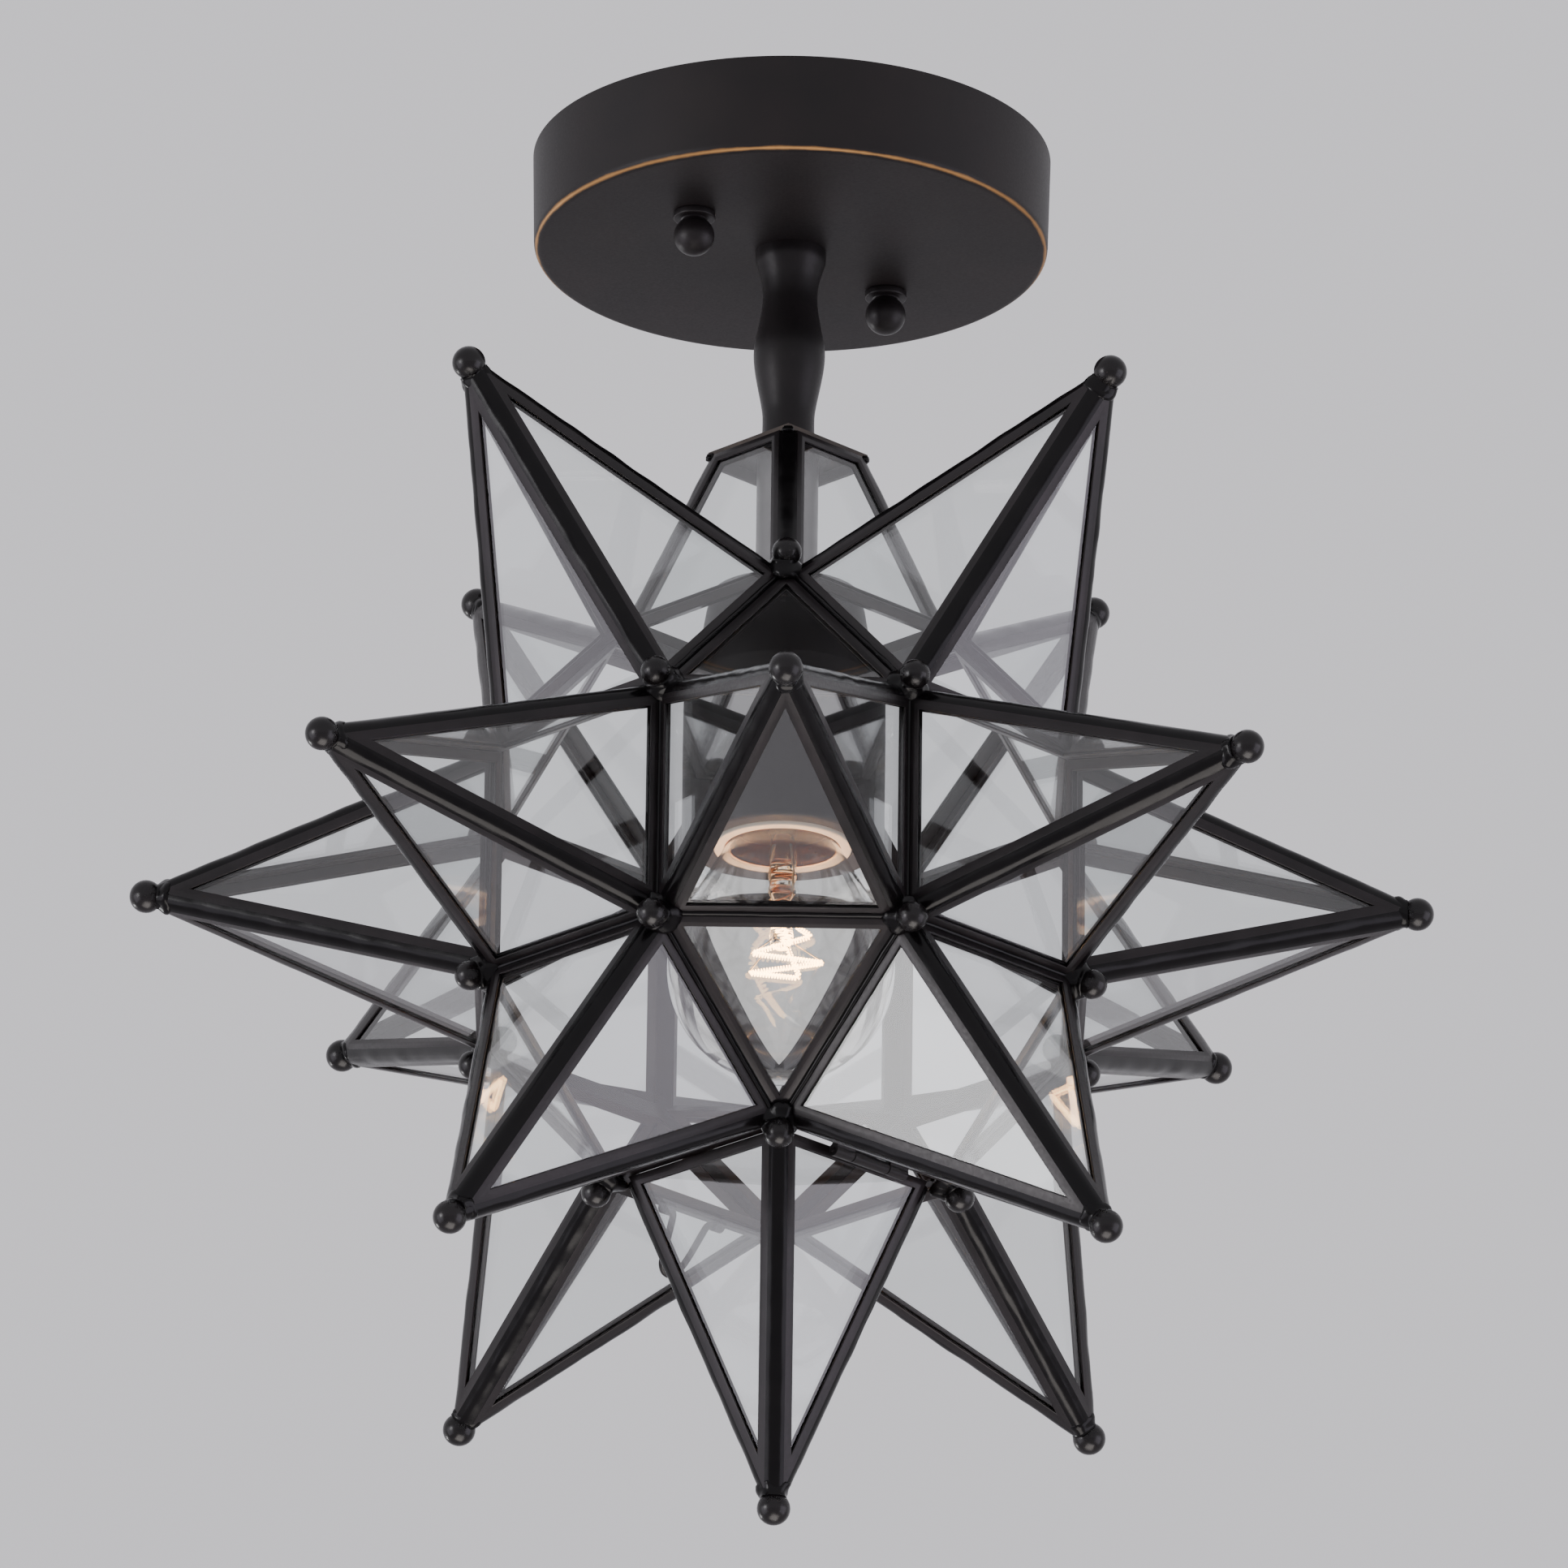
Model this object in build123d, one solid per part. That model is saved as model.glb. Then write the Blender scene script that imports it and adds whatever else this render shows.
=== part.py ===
from build123d import *
from math import acos, atan2, cos, hypot, pi, radians, sin, sqrt, tan
import os

os.makedirs("parts", exist_ok=True)

# Overall layout in millimetres. The ceiling plane is z = 0 and z points up.
STAR_Z = -195.1
CORE_EDGE = 58.5
TIP_REACH = 152.7
CORE_HALF = CORE_EDGE / 2
CORE_DIST = CORE_EDGE * (1 + sqrt(2)) / 2
POINT_RISE = TIP_REACH - CORE_DIST
TRIANGLE_DIST = CORE_EDGE * (3 + sqrt(2)) / (2 * sqrt(3))
BALL_REACH = 85.7

# Came channel that edges every pane
CAME_LEAF = 3.0
CAME_THICK = 3.2
CAME_WEB = 0.6
CAME_SLOT = 2.1
GLASS_THICK = 2.0
GLASS_GAP = 0.3
BEAD_RISE = 0.75
TRIANGLE_SETBACK = 0.73
CORNER_SETBACK = 3.02

# Top pyramid, door and hinge
PLATE_Z = 116.4
FRUSTUM_TOP_HALF = 14.2
FRUSTUM_HEIGHT = PLATE_Z - CORE_DIST
DOOR_HALF = 26.75
BALL_R = 4.0
HINGE_OUT = 2.6
KNUCKLE_R = 1.5
HINGE_PIN_R = 0.6
HINGE_CLEARANCE = 0.08
LATCH_WIRE_R = 0.9
LATCH_FOOT = 2.5
LATCH_STANDOFF = 1.9
LATCH_TILT = 30

# Canopy and its mounting
CANOPY_RIM_R = 63.4
CANOPY_R = 62.8
CANOPY_DEPTH = 24.3
CANOPY_WALL = 1.0
CANOPY_ROUNDING = 2.2
STUD_SPREAD = 66.6
BOX_SCREW_SPREAD = 79.4
BOX_SLOT_LENGTH = 15.0
BOX_SLOT_WIDTH = 4.8
STUD_R = 1.95

# Threaded pipe, washers and spacer tube
PIPE_R = 4.85
PIPE_BORE_R = 3.2
PIPE_HOLE_R = 5.0
PIPE_TOP = 181.6
PIPE_BOTTOM = 69.0
PLATE_SIDE = 27.4
PLATE_THICK = 1.2
WASHER_R = 9.45
WASHER_THICK = 1.2
NUT_THICK = 3.5
SPACER_R = 6.65

# Socket, heights measured from the middle of the star
CUP_MOUTH_Z = 15.6
CUP_MOUTH_R = 22.9
CUP_WALL = 0.8
CUP_TOP_Z = 79.8
PORCELAIN_R = 21.9
PORCELAIN_BORE_R = 13.95
PORCELAIN_TOP_Z = 54.0
SHELL_R = 13.85
SHELL_WALL = 0.5

# Bulb, heights measured from the middle of the star
BULB_R = 27.8
BULB_Z = -16.3
BULB_WALL = 0.8
BULB_NECK_R = 12.55
BULB_SHELL_R = 13.0

# Part frame of the canopy, whose heights are measured from the ceiling, and of the star
CANOPY = Location((0, 0, 0))
STAR = Location((0, 0, STAR_Z))


def save(name, shapes, where=STAR):
    """Write one node as separate solids in the shared frame."""
    solids = []
    for shape in shapes:
        for solid in shape.solids():
            solids.append(solid.moved(where))
    if len(solids) == 1:
        export_step(solids[0], "parts/" + name + ".step")
    else:
        export_step(Compound(solids), "parts/" + name + ".step")


def prism(plane, points, start, end):
    """Extrude a polygon drawn on a plane from one height to another along the plane normal."""
    face = plane.offset(start) * make_face(Polyline(*points, close=True))
    return extrude(face, amount=end - start, dir=plane.z_dir)


def keep_side(shape, origin, normal):
    """Cut a solid with a plane and keep the side that the normal points to."""
    return split(shape, bisect_by=Plane(origin=origin, z_dir=normal), keep=Keep.TOP)


def turned(profile):
    """Revolve a closed profile of (radius, height) points about the z axis."""
    return revolve(Plane.XZ * make_face(Polyline(*profile, close=True)), axis=Axis.Z)


def faceted_turn(profile, sides):
    """Turn a closed profile of (radius, height) points about the z axis in flat steps."""
    faces = []
    for start, end in zip(profile, profile[1:] + profile[:1]):
        if start[0] == 0 and end[0] == 0:
            continue
        for step in range(sides):
            a = 2 * pi * step / sides
            b = 2 * pi * (step + 1) / sides
            ring = [(start, a), (start, b), (end, b), (end, a)]
            if start[0] == 0:
                ring.pop(0)
            if end[0] == 0:
                ring.pop()
            points = [(r * cos(angle), r * sin(angle), z) for (r, z), angle in ring]
            faces.append(Face(Wire.make_polygon(points, close=True)))
    return Solid(Shell(faces))


def arc_points(centre, radius, start, end, steps):
    """Points along an arc, each a (radius, height) pair. Angles are in degrees from level."""
    points = []
    for step in range(steps + 1):
        angle = radians(start + (end - start) * step / steps)
        points.append((centre[0] + radius * cos(angle), centre[1] + radius * sin(angle)))
    return points


def rod(radius, z0, z1, x=0.0, y=0.0):
    """Upright round bar."""
    return Pos(x, y, z0) * Cylinder(radius, z1 - z0, align=(Align.CENTER, Align.CENTER, Align.MIN))


def faceted_rod(radius, z0, z1, x=0.0, y=0.0, sides=12):
    """Upright bar with a polygon section, for hardware that is out of sight."""
    return Pos(x, y, z0) * extrude(RegularPolygon(radius, sides), amount=z1 - z0)


def hex_bar(across, z0, z1, x=0.0, y=0.0):
    """Upright six sided bar given its width across flats."""
    face = RegularPolygon(across / sqrt(3), 6)
    return Pos(x, y, z0) * extrude(face, amount=z1 - z0)


def wire(points, radius, sides=6):
    """Bent wire with mitred corners and a polygon section."""
    path = Polyline(*points)
    start = Vector(*points[0])
    heading = Vector(*points[1]) - start
    section = Plane(origin=start, z_dir=heading) * RegularPolygon(radius, sides)
    return sweep(section, path=path, transition=Transition.RIGHT)


def four_turns(shapes):
    """Copies of the shapes turned about the local z axis in quarter turns."""
    result = []
    for quarter in range(4):
        for shape in shapes:
            result.append(shape.moved(Location((0, 0, 0), (0, 0, 90 * quarter))))
    return result


class Pyramid:
    """Sizes of one four sided point, in its own frame with z outward from the core."""

    def __init__(self, half, rise, top=None):
        self.half = half
        self.rise = rise
        self.top = top
        self.slant = hypot(half, rise)
        self.normal_a = Vector(rise, 0, half) / self.slant
        self.normal_b = Vector(0, rise, half) / self.slant
        self.beta = (pi - acos(self.normal_a.dot(self.normal_b))) / 2
        self.setback = CAME_THICK / tan(self.beta)
        self.base_angle = atan2(self.slant, half)
        self.corner_step = self.setback / sin(self.base_angle)
        self.face = Plane(origin=(half, 0, 0), x_dir=(0, 1, 0), z_dir=self.normal_a)
        self.ridge = Vector(-half, -half, rise).normalized()


def ridge_bar(p):
    """Two came channels back to back along a ridge with the solder bead between them."""
    outward = (p.normal_a + p.normal_b).normalized()
    across = (p.normal_a - p.normal_b).normalized()
    down = Vector(sin(p.beta), -cos(p.beta))
    up = Vector(cos(p.beta), sin(p.beta))
    lip = (CAME_THICK - CAME_SLOT) / 2
    steps = [
        (p.setback, 0),
        (p.setback + CAME_LEAF, 0),
        (p.setback + CAME_LEAF, lip),
        (p.setback + CAME_WEB, lip),
        (p.setback + CAME_WEB, CAME_THICK - lip),
        (p.setback + CAME_LEAF, CAME_THICK - lip),
        (p.setback + CAME_LEAF, CAME_THICK),
    ]
    side = [down * s - up * d for s, d in steps]
    right = [(v.X, v.Y) for v in side]
    left = [(-v.X, v.Y) for v in reversed(side)]
    foot = (0.0, -p.setback * cos(p.beta) - CAME_THICK * sin(p.beta))
    bead_z = -p.setback * cos(p.beta) + BEAD_RISE
    bead = [(-1.05, bead_z), (1.05, bead_z)]
    outline = right + [foot] + left + bead
    corner = Vector(p.half, p.half, 0)
    normal = across.cross(outward)
    length = hypot(p.half * sqrt(2), p.rise)
    start = corner - p.ridge * 8
    plane = Plane(origin=start, x_dir=across, z_dir=normal)
    face = plane * make_face(Polyline(*outline, close=True))
    bar = extrude(face, amount=length + 8, dir=p.ridge)
    bar = keep_side(bar, (0, 0, 0), (1, 0, 0))
    bar = keep_side(bar, (0, 0, 0), (0, 1, 0))
    for swap in (False, True):
        bar = keep_side(bar, *mitre(p, False, swap))
        if p.top is not None:
            bar = keep_side(bar, *mitre(p, True, swap))
        cone_origin = (0, p.half, 0) if swap else (p.half, 0, 0)
        cone_normal = (0, -CORE_DIST, CORE_HALF) if swap else (-CORE_DIST, 0, CORE_HALF)
        bar = keep_side(bar, cone_origin, cone_normal)
    if p.top is not None:
        bar = keep_side(bar, (0, 0, p.top), (0, 0, -1))
    return bar.solids().sort_by(SortBy.VOLUME)[-1]


def mitre(p, at_top, swap):
    """Plane of a mitre on face +X, normal toward the ridge. Swapped it belongs to face +Y."""
    edge = Vector(0, -1, 0)
    along = p.ridge
    corner = Vector(p.half, p.half, 0)
    if at_top:
        half_top = p.half * (1 - p.top / p.rise)
        corner = Vector(half_top, half_top, p.top)
        along = p.ridge * -1
    bisector = (edge + along).normalized()
    origin = corner + edge * p.corner_step
    normal = along - bisector * along.dot(bisector)
    if swap:
        origin = Vector(origin.Y, origin.X, origin.Z)
        normal = Vector(normal.Y, normal.X, normal.Z)
    return origin, normal


def base_strip(p):
    """Came channel along the base edge of face +X."""
    reach = p.half - p.corner_step
    inner = reach - CAME_LEAF / tan(p.base_angle / 2)
    outline = [(-reach, 0), (reach, 0), (inner, CAME_LEAF), (-inner, CAME_LEAF)]
    lip = (CAME_THICK - CAME_SLOT) / 2
    slot = [(-reach, CAME_WEB), (reach, CAME_WEB), (reach, CAME_LEAF + 1), (-reach, CAME_LEAF + 1)]
    bar = prism(p.face, outline, -CAME_THICK, 0)
    return bar - prism(p.face, slot, lip - CAME_THICK, -lip)


def top_strip(p):
    """Came channel along the cut top edge of face +X."""
    level = p.slant * p.top / p.rise
    angle = pi - p.base_angle
    reach = p.half * (1 - p.top / p.rise) - p.corner_step
    inner = reach - CAME_LEAF / tan(angle / 2)
    outline = [(-reach, level), (reach, level), (inner, level - CAME_LEAF), (-inner, level - CAME_LEAF)]
    lip = (CAME_THICK - CAME_SLOT) / 2
    far = level - CAME_LEAF - 1
    near = level - CAME_WEB
    slot = [(-reach, near), (reach, near), (reach, far), (-reach, far)]
    bar = prism(p.face, outline, -CAME_THICK, 0)
    return bar - prism(p.face, slot, lip - CAME_THICK, -lip)


def face_pane(p):
    """Pane of face +X, sitting in the channels with a small gap at its edges."""
    inset = CAME_WEB + GLASS_GAP
    foot = p.half - p.corner_step - inset / tan(p.base_angle / 2)
    if p.top is None:
        peak = p.slant - (p.setback + inset) / cos(p.base_angle)
        outline = [(-foot, inset), (foot, inset), (0, peak)]
    else:
        level = p.slant * p.top / p.rise
        head = p.half * (1 - p.top / p.rise) - p.corner_step - inset / tan((pi - p.base_angle) / 2)
        outline = [(-foot, inset), (foot, inset), (head, level - inset), (-head, level - inset)]
    gap = (CAME_THICK - GLASS_THICK) / 2
    return prism(p.face, outline, gap - CAME_THICK, -gap)


def faceted_ball(radius):
    """Ball of flat facets whose width along x, y and z is the full diameter."""
    scale = radius / cos(radians(22.5))
    rings = []
    for latitude in (-67.5, -22.5, 22.5, 67.5):
        ring = []
        for step in range(8):
            r = scale * cos(radians(latitude))
            angle = radians(45 * step)
            ring.append((r * cos(angle), r * sin(angle), scale * sin(radians(latitude))))
        rings.append(ring)
    polygons = [list(reversed(rings[0])), rings[3]]
    for low, high in zip(rings, rings[1:]):
        for i in range(8):
            j = (i + 1) % 8
            polygons.append([low[i], low[j], high[j], high[i]])
    faces = [Face(Wire.make_polygon(polygon, close=True)) for polygon in polygons]
    return Solid(Shell(faces))


def cut_ball(ball, bars):
    """Ball with the bars it sits on removed, keeping its largest piece."""
    box = ball.bounding_box()
    for bar in bars:
        other = bar.bounding_box()
        apart = (
            box.min.X > other.max.X or other.min.X > box.max.X
            or box.min.Y > other.max.Y or other.min.Y > box.max.Y
            or box.min.Z > other.max.Z or other.min.Z > box.max.Z
        )
        if not apart:
            ball = ball - bar
    return ball.solids().sort_by(SortBy.VOLUME)[-1]


def tip_ball(p, bars):
    """Ball on a short neck at the apex of a point."""
    neck = Pos(0, 0, p.rise - 7.4) * extrude(RegularPolygon(2.4, 8), amount=5)
    ball = faceted_ball(BALL_R).moved(Location((0, 0, p.rise))) + neck
    return cut_ball(ball, bars)


def point_location(azimuth, elevation):
    """Frame of a core square, z outward and x along its level edge."""
    a = radians(azimuth)
    e = radians(elevation)
    outward = Vector(cos(a) * cos(e), sin(a) * cos(e), sin(e))
    level = Vector(-sin(a), cos(a), 0)
    return Plane(origin=outward * CORE_DIST, x_dir=level, z_dir=outward).location


TOP_FRAME = Plane(origin=(0, 0, CORE_DIST), x_dir=(1, 1, 0), z_dir=(0, 0, 1)).location
DOOR_FRAME = Plane(origin=(0, 0, -CORE_DIST), x_dir=(1, 1, 0), z_dir=(0, 0, -1)).location

# One full point, the cut top pyramid and the smaller door pyramid, each in its own frame
point = Pyramid(CORE_HALF, POINT_RISE)
frustum = Pyramid(CORE_HALF, CORE_HALF * FRUSTUM_HEIGHT / (CORE_HALF - FRUSTUM_TOP_HALF), FRUSTUM_HEIGHT)
door = Pyramid(DOOR_HALF, POINT_RISE)

point_ridges = four_turns([ridge_bar(point)])
point_bases = four_turns([base_strip(point)])
point_panes = four_turns([face_pane(point)])
point_ball = tip_ball(point, point_ridges)

frustum_bars = four_turns([ridge_bar(frustum), base_strip(frustum), top_strip(frustum)])
frustum_panes = four_turns([face_pane(frustum)])

door_ridges = four_turns([ridge_bar(door)])
door_bases = four_turns([base_strip(door)])
door_panes = four_turns([face_pane(door)])
door_ball = tip_ball(door, door_ridges)

# Sixteen points placed round the core
ROWS = [
    ("upper", 45, [-45, 45, 135, -135]),
    ("middle", 0, [-90, -45, 0, 45, 90, 135, 180, -135]),
    ("lower", -45, [-45, 45, 135, -135]),
]
static_bars = [bar.moved(TOP_FRAME) for bar in frustum_bars]
point_places = []
balls = []
glass = []
for row, elevation, azimuths in ROWS:
    for number, azimuth in enumerate(azimuths, start=1):
        place = point_location(azimuth, elevation)
        bars = [bar.moved(place) for bar in point_ridges + point_bases]
        save(row + "_point_frame_" + str(number), bars)
        glass.extend(pane.moved(place) for pane in point_panes)
        static_bars.extend(bars)
        balls.append(point_ball.moved(place))
        point_places.append(place)
save("point_glass", glass)
save("top_frame", [bar.moved(TOP_FRAME) for bar in frustum_bars])
save("top_glass", [pane.moved(TOP_FRAME) for pane in frustum_panes])


# Flat triangle panels between the points
def triangle_outline(setback):
    """Corners of the panel triangle moved in from the core edges."""
    radius = CORE_EDGE / sqrt(3) - 2 * setback
    return [(radius * cos(radians(a)), radius * sin(radians(a))) for a in (90, 210, 330)]


def triangle_bars(plane):
    """Three mitred came channels round one triangle pane."""
    outer = triangle_outline(TRIANGLE_SETBACK)
    inner = triangle_outline(TRIANGLE_SETBACK + CAME_LEAF)
    web = triangle_outline(TRIANGLE_SETBACK + CAME_WEB)
    lip = (CAME_THICK - CAME_SLOT) / 2
    slot = prism(plane, web, lip - CAME_THICK, -lip)
    bars = []
    for i in range(3):
        j = (i + 1) % 3
        bar = prism(plane, [outer[i], outer[j], inner[j], inner[i]], -CAME_THICK, 0)
        bars.append((bar - slot).solids().sort_by(SortBy.VOLUME)[-1])
    return bars


triangle_normals = []
for azimuth in (-90, 0, 90, 180):
    for sign in (1, -1):
        a = radians(azimuth)
        triangle_normals.append(Vector(cos(a) * sqrt(2), sin(a) * sqrt(2), sign).normalized())
triangle_frames = []
triangle_panes = []
for outward in triangle_normals:
    sign = 1 if outward.Z > 0 else -1
    level = Vector(0, 0, 1).cross(outward).normalized() * sign
    plane = Plane(origin=outward * TRIANGLE_DIST, x_dir=level, z_dir=outward)
    bars = triangle_bars(plane)
    triangle_frames.extend(bars)
    static_bars.extend(bars)
    gap = (CAME_THICK - GLASS_THICK) / 2
    pane = triangle_outline(TRIANGLE_SETBACK + CAME_WEB + GLASS_GAP)
    triangle_panes.append(prism(plane, pane, gap - CAME_THICK, -gap))
save("triangle_frames", triangle_frames)
save("triangle_glass", triangle_panes)

# Core corners and a ball standing on each
corner_directions = []
for quarter in range(4):
    turn = radians(90 * quarter)
    for x, y, z in ((sqrt(2), 0, 1 + sqrt(2)), (1 + sqrt(2), 1, 1), (1 + sqrt(2), -1, 1)):
        for sign in (1, -1):
            spot = (x * cos(turn) - y * sin(turn), x * sin(turn) + y * cos(turn), z * sign)
            corner_directions.append(Vector(*spot).normalized())
for direction in corner_directions:
    centre = direction * BALL_REACH
    ball = faceted_ball(BALL_R).moved(Location((centre.X, centre.Y, centre.Z)))
    balls.append(cut_ball(ball, static_bars))
save("solder_balls", balls)


# Solder that fills the inner V of every valley
def seam(start, end, side_a, side_b):
    """Prism along a core edge. Each side is a list of offsets from the edge line."""
    along = (end - start).normalized()
    points = [Vector(0, 0, 0)] + side_a + list(reversed(side_b))
    first = start + along * CORNER_SETBACK
    plane = Plane(origin=first, x_dir=side_a[-1], z_dir=along)
    outline = []
    for v in points:
        outline.append((v.dot(plane.x_dir), v.dot(plane.y_dir)))
    return prism(plane, outline, 0, CORE_EDGE - 2 * CORNER_SETBACK)


def triangle_side(centre, middle):
    """Back edge of the came of a flat panel beside a core edge."""
    outward = centre.normalized()
    inward = (centre - middle).normalized() * TRIANGLE_SETBACK
    return [inward, inward - outward * CAME_THICK]


def point_side(centre, middle):
    """Inner edge of the base came of a point beside a core edge."""
    inward = centre - middle
    normal = centre.normalized() * inward.length - inward.normalized() * POINT_RISE
    return [normal.normalized() * -CAME_THICK]


square_centres = [Vector(0, 0, CORE_DIST)]
for place in point_places:
    square_centres.append(Vector(*place.position))
seams = []
corners = [direction * (CORE_EDGE * sqrt(5 + 2 * sqrt(2)) / 2) for direction in corner_directions]
for i, first in enumerate(corners):
    for second in corners[i + 1:]:
        if abs((first - second).length - CORE_EDGE) > 0.01:
            continue
        middle = (first + second) / 2
        sides = []
        for centre in square_centres:
            if abs((centre - middle).length - CORE_HALF) < 0.01:
                sides.append(point_side(centre, middle))
        for outward in triangle_normals:
            centre = outward * TRIANGLE_DIST
            if abs((centre - middle).length - CORE_EDGE / (2 * sqrt(3))) < 0.01:
                sides.append(triangle_side(centre, middle))
        if len(sides) == 2:
            seams.append(seam(first, second, sides[0], sides[1]))
save("solder_seams", seams)

# Door in the bottom opening with its hinge on the front right edge
door_slant = hypot(DOOR_HALF, POINT_RISE)
door_out = (POINT_RISE / door_slant, DOOR_HALF / door_slant)
half_gap = radians(22.5)
hinge_y = CORE_HALF + HINGE_OUT * sin(half_gap)
hinge_z = HINGE_OUT * cos(half_gap)
neighbour_lean = radians(45) - atan2(CORE_HALF, POINT_RISE)
neighbour_out = (-sin(neighbour_lean), cos(neighbour_lean))
HINGE_PLANE = Plane(origin=(0, hinge_y, hinge_z), x_dir=(0, 1, 0), z_dir=(1, 0, 0))


def barrel(plane, x0, x1, radius, bore, leaf_dir, leaf_length, leaf_half):
    """Hinge tube with a short leaf reaching to the came it is soldered to."""
    tube = plane.offset(x0).location * Cylinder(
        radius, x1 - x0, align=(Align.CENTER, Align.CENTER, Align.MIN))
    dx, dy = leaf_dir
    side = (-dy * leaf_half, dx * leaf_half)
    far = (dx * leaf_length, dy * leaf_length)
    outline = [
        side,
        (far[0] + side[0], far[1] + side[1]),
        (far[0] - side[0], far[1] - side[1]),
        (-side[0], -side[1]),
    ]
    body = tube + prism(plane, outline, x0, x1)
    hole = plane.offset(x0 - 1).location * Cylinder(
        bore, x1 - x0 + 2, align=(Align.CENTER, Align.CENTER, Align.MIN))
    return body - hole


axis_rel = (hinge_y - CORE_HALF, hinge_z)
to_neighbour = axis_rel[0] * neighbour_out[0] + axis_rel[1] * neighbour_out[1]
neighbour_dir = (-neighbour_out[0], -neighbour_out[1])
knuckles = []
for x0 in (-12.0, 6.0):
    knuckles.append(barrel(
        HINGE_PLANE, x0, x0 + 6.0, KNUCKLE_R, HINGE_PIN_R, neighbour_dir, to_neighbour, 1.0))
save("hinge_fixed_knuckles", [k.moved(DOOR_FRAME) for k in knuckles])
pin = HINGE_PLANE.offset(-12.6).location * Cylinder(
    HINGE_PIN_R, 25.2, align=(Align.CENTER, Align.CENTER, Align.MIN))
save("hinge_pin", [pin.moved(DOOR_FRAME)])

to_door = (hinge_y - DOOR_HALF) * door_out[0] + hinge_z * door_out[1]
door_dir = (-door_out[0], -door_out[1])
door_knuckle = barrel(
    HINGE_PLANE, -5.7, 5.7, KNUCKLE_R, HINGE_PIN_R + HINGE_CLEARANCE, door_dir, to_door, 0.8)
save("hinge_door_knuckle", [door_knuckle.moved(DOOR_FRAME)])

# Latch wire on the back left edge of the door
latch_y = DOOR_HALF - LATCH_FOOT * door_out[1] + LATCH_STANDOFF * door_out[0]
latch_z = LATCH_FOOT * door_out[0] + LATCH_STANDOFF * door_out[1]
EYE_PLANE = Plane(origin=(0, -latch_y, latch_z), x_dir=(0, -1, 0), z_dir=(-1, 0, 0))
eyes = []
for x0 in (-8.4, 8.6):
    eyes.append(barrel(
        EYE_PLANE, x0, x0 + 2.6, 1.65, LATCH_WIRE_R + HINGE_CLEARANCE, door_dir, LATCH_STANDOFF, 1.1))
save("latch_eyes", [eye.moved(DOOR_FRAME) for eye in eyes])
tilt = radians(LATCH_TILT)


def latch_point(x, drop):
    """Point of the latch wire, x along the edge and drop along the hanging legs."""
    return (x, -latch_y - drop * sin(tilt), latch_z + drop * cos(tilt))


bend = [(-11.6, 0), (-7.2, 0), (-5.6, 9.0), (-4.9, 12.6), (-3.0, 14.4)]
bend = bend + [(-0.4, 14.4), (1.5, 12.6), (2.6, 9.0), (4.4, 0), (8.8, 0)]
latch = wire([latch_point(x, d) for x, d in bend], LATCH_WIRE_R, 8)
save("latch_wire", [latch.moved(DOOR_FRAME)])

save("door_frame", [bar.moved(DOOR_FRAME) for bar in door_ridges + door_bases])
save("door_glass", [pane.moved(DOOR_FRAME) for pane in door_panes])
save("door_tip_ball", [door_ball.moved(DOOR_FRAME)])

# Canopy and what is fixed in it, heights here measured from the ceiling plane
rounding = arc_points(
    (CANOPY_R - CANOPY_ROUNDING, CANOPY_ROUNDING - CANOPY_DEPTH), CANOPY_ROUNDING, 0, -90, 3)
canopy = turned([(CANOPY_RIM_R, 0)] + rounding + [
    (PIPE_HOLE_R + 0.1, -CANOPY_DEPTH),
    (PIPE_HOLE_R + 0.1, CANOPY_WALL - CANOPY_DEPTH),
    (CANOPY_R - CANOPY_ROUNDING, CANOPY_WALL - CANOPY_DEPTH),
    (CANOPY_R - CANOPY_WALL, CANOPY_ROUNDING - CANOPY_DEPTH),
    (CANOPY_RIM_R - CANOPY_WALL, 0),
])
stud_step = STUD_SPREAD / 2 * cos(radians(45))
studs = [(-stud_step, -stud_step), (stud_step, stud_step)]
for x, y in studs:
    canopy = canopy - rod(2.4, -CANOPY_DEPTH - 1, -CANOPY_DEPTH + 2, x, y)
save("canopy", [canopy], CANOPY)


def flat_bar(length, width, z0, z1, angle):
    """Straight strip lying level at an angle about z."""
    bar = Box(length, width, z1 - z0, align=(Align.CENTER, Align.CENTER, Align.MIN))
    return Rot(0, 0, angle) * Pos(0, 0, z0) * bar


box_bar = flat_bar(105, 19, -2, 0, 0) - faceted_rod(6.0, -3, 1)
for sign in (-1, 1):
    slot = extrude(SlotOverall(BOX_SLOT_LENGTH, BOX_SLOT_WIDTH), amount=4)
    box_bar = box_bar - Pos(sign * BOX_SCREW_SPREAD / 2, 0, -3) * slot
save("box_bar", [box_bar], CANOPY)
stud_bar = flat_bar(87, 19, -4, -2, 45) - faceted_rod(6.0, -5, -1)
for x, y in studs:
    stud_bar = stud_bar - rod(STUD_R, -5, -1, x, y)
ground_at = 20 * cos(radians(45))
stud_bar = stud_bar - faceted_rod(1.7, -5, -1, ground_at, ground_at)
save("stud_bar", [stud_bar], CANOPY)
rivet = faceted_rod(6.0, -4, 0) + faceted_rod(7.6, -4.7, -4) - faceted_rod(4.8, -5, 1)
save("crossbar_rivet", [rivet], CANOPY)
ground = faceted_rod(1.7, -4, -1.2, ground_at, ground_at) + hex_bar(6.4, -6.6, -4, ground_at, ground_at)
save("ground_screw", [ground], CANOPY)
screws = []
for x, y in studs:
    screws.append(rod(STUD_R, -CANOPY_DEPTH - 6.4, -2, x, y) + faceted_rod(3.6, -2, -0.4, x, y))
save("canopy_screws", screws, CANOPY)

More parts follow.
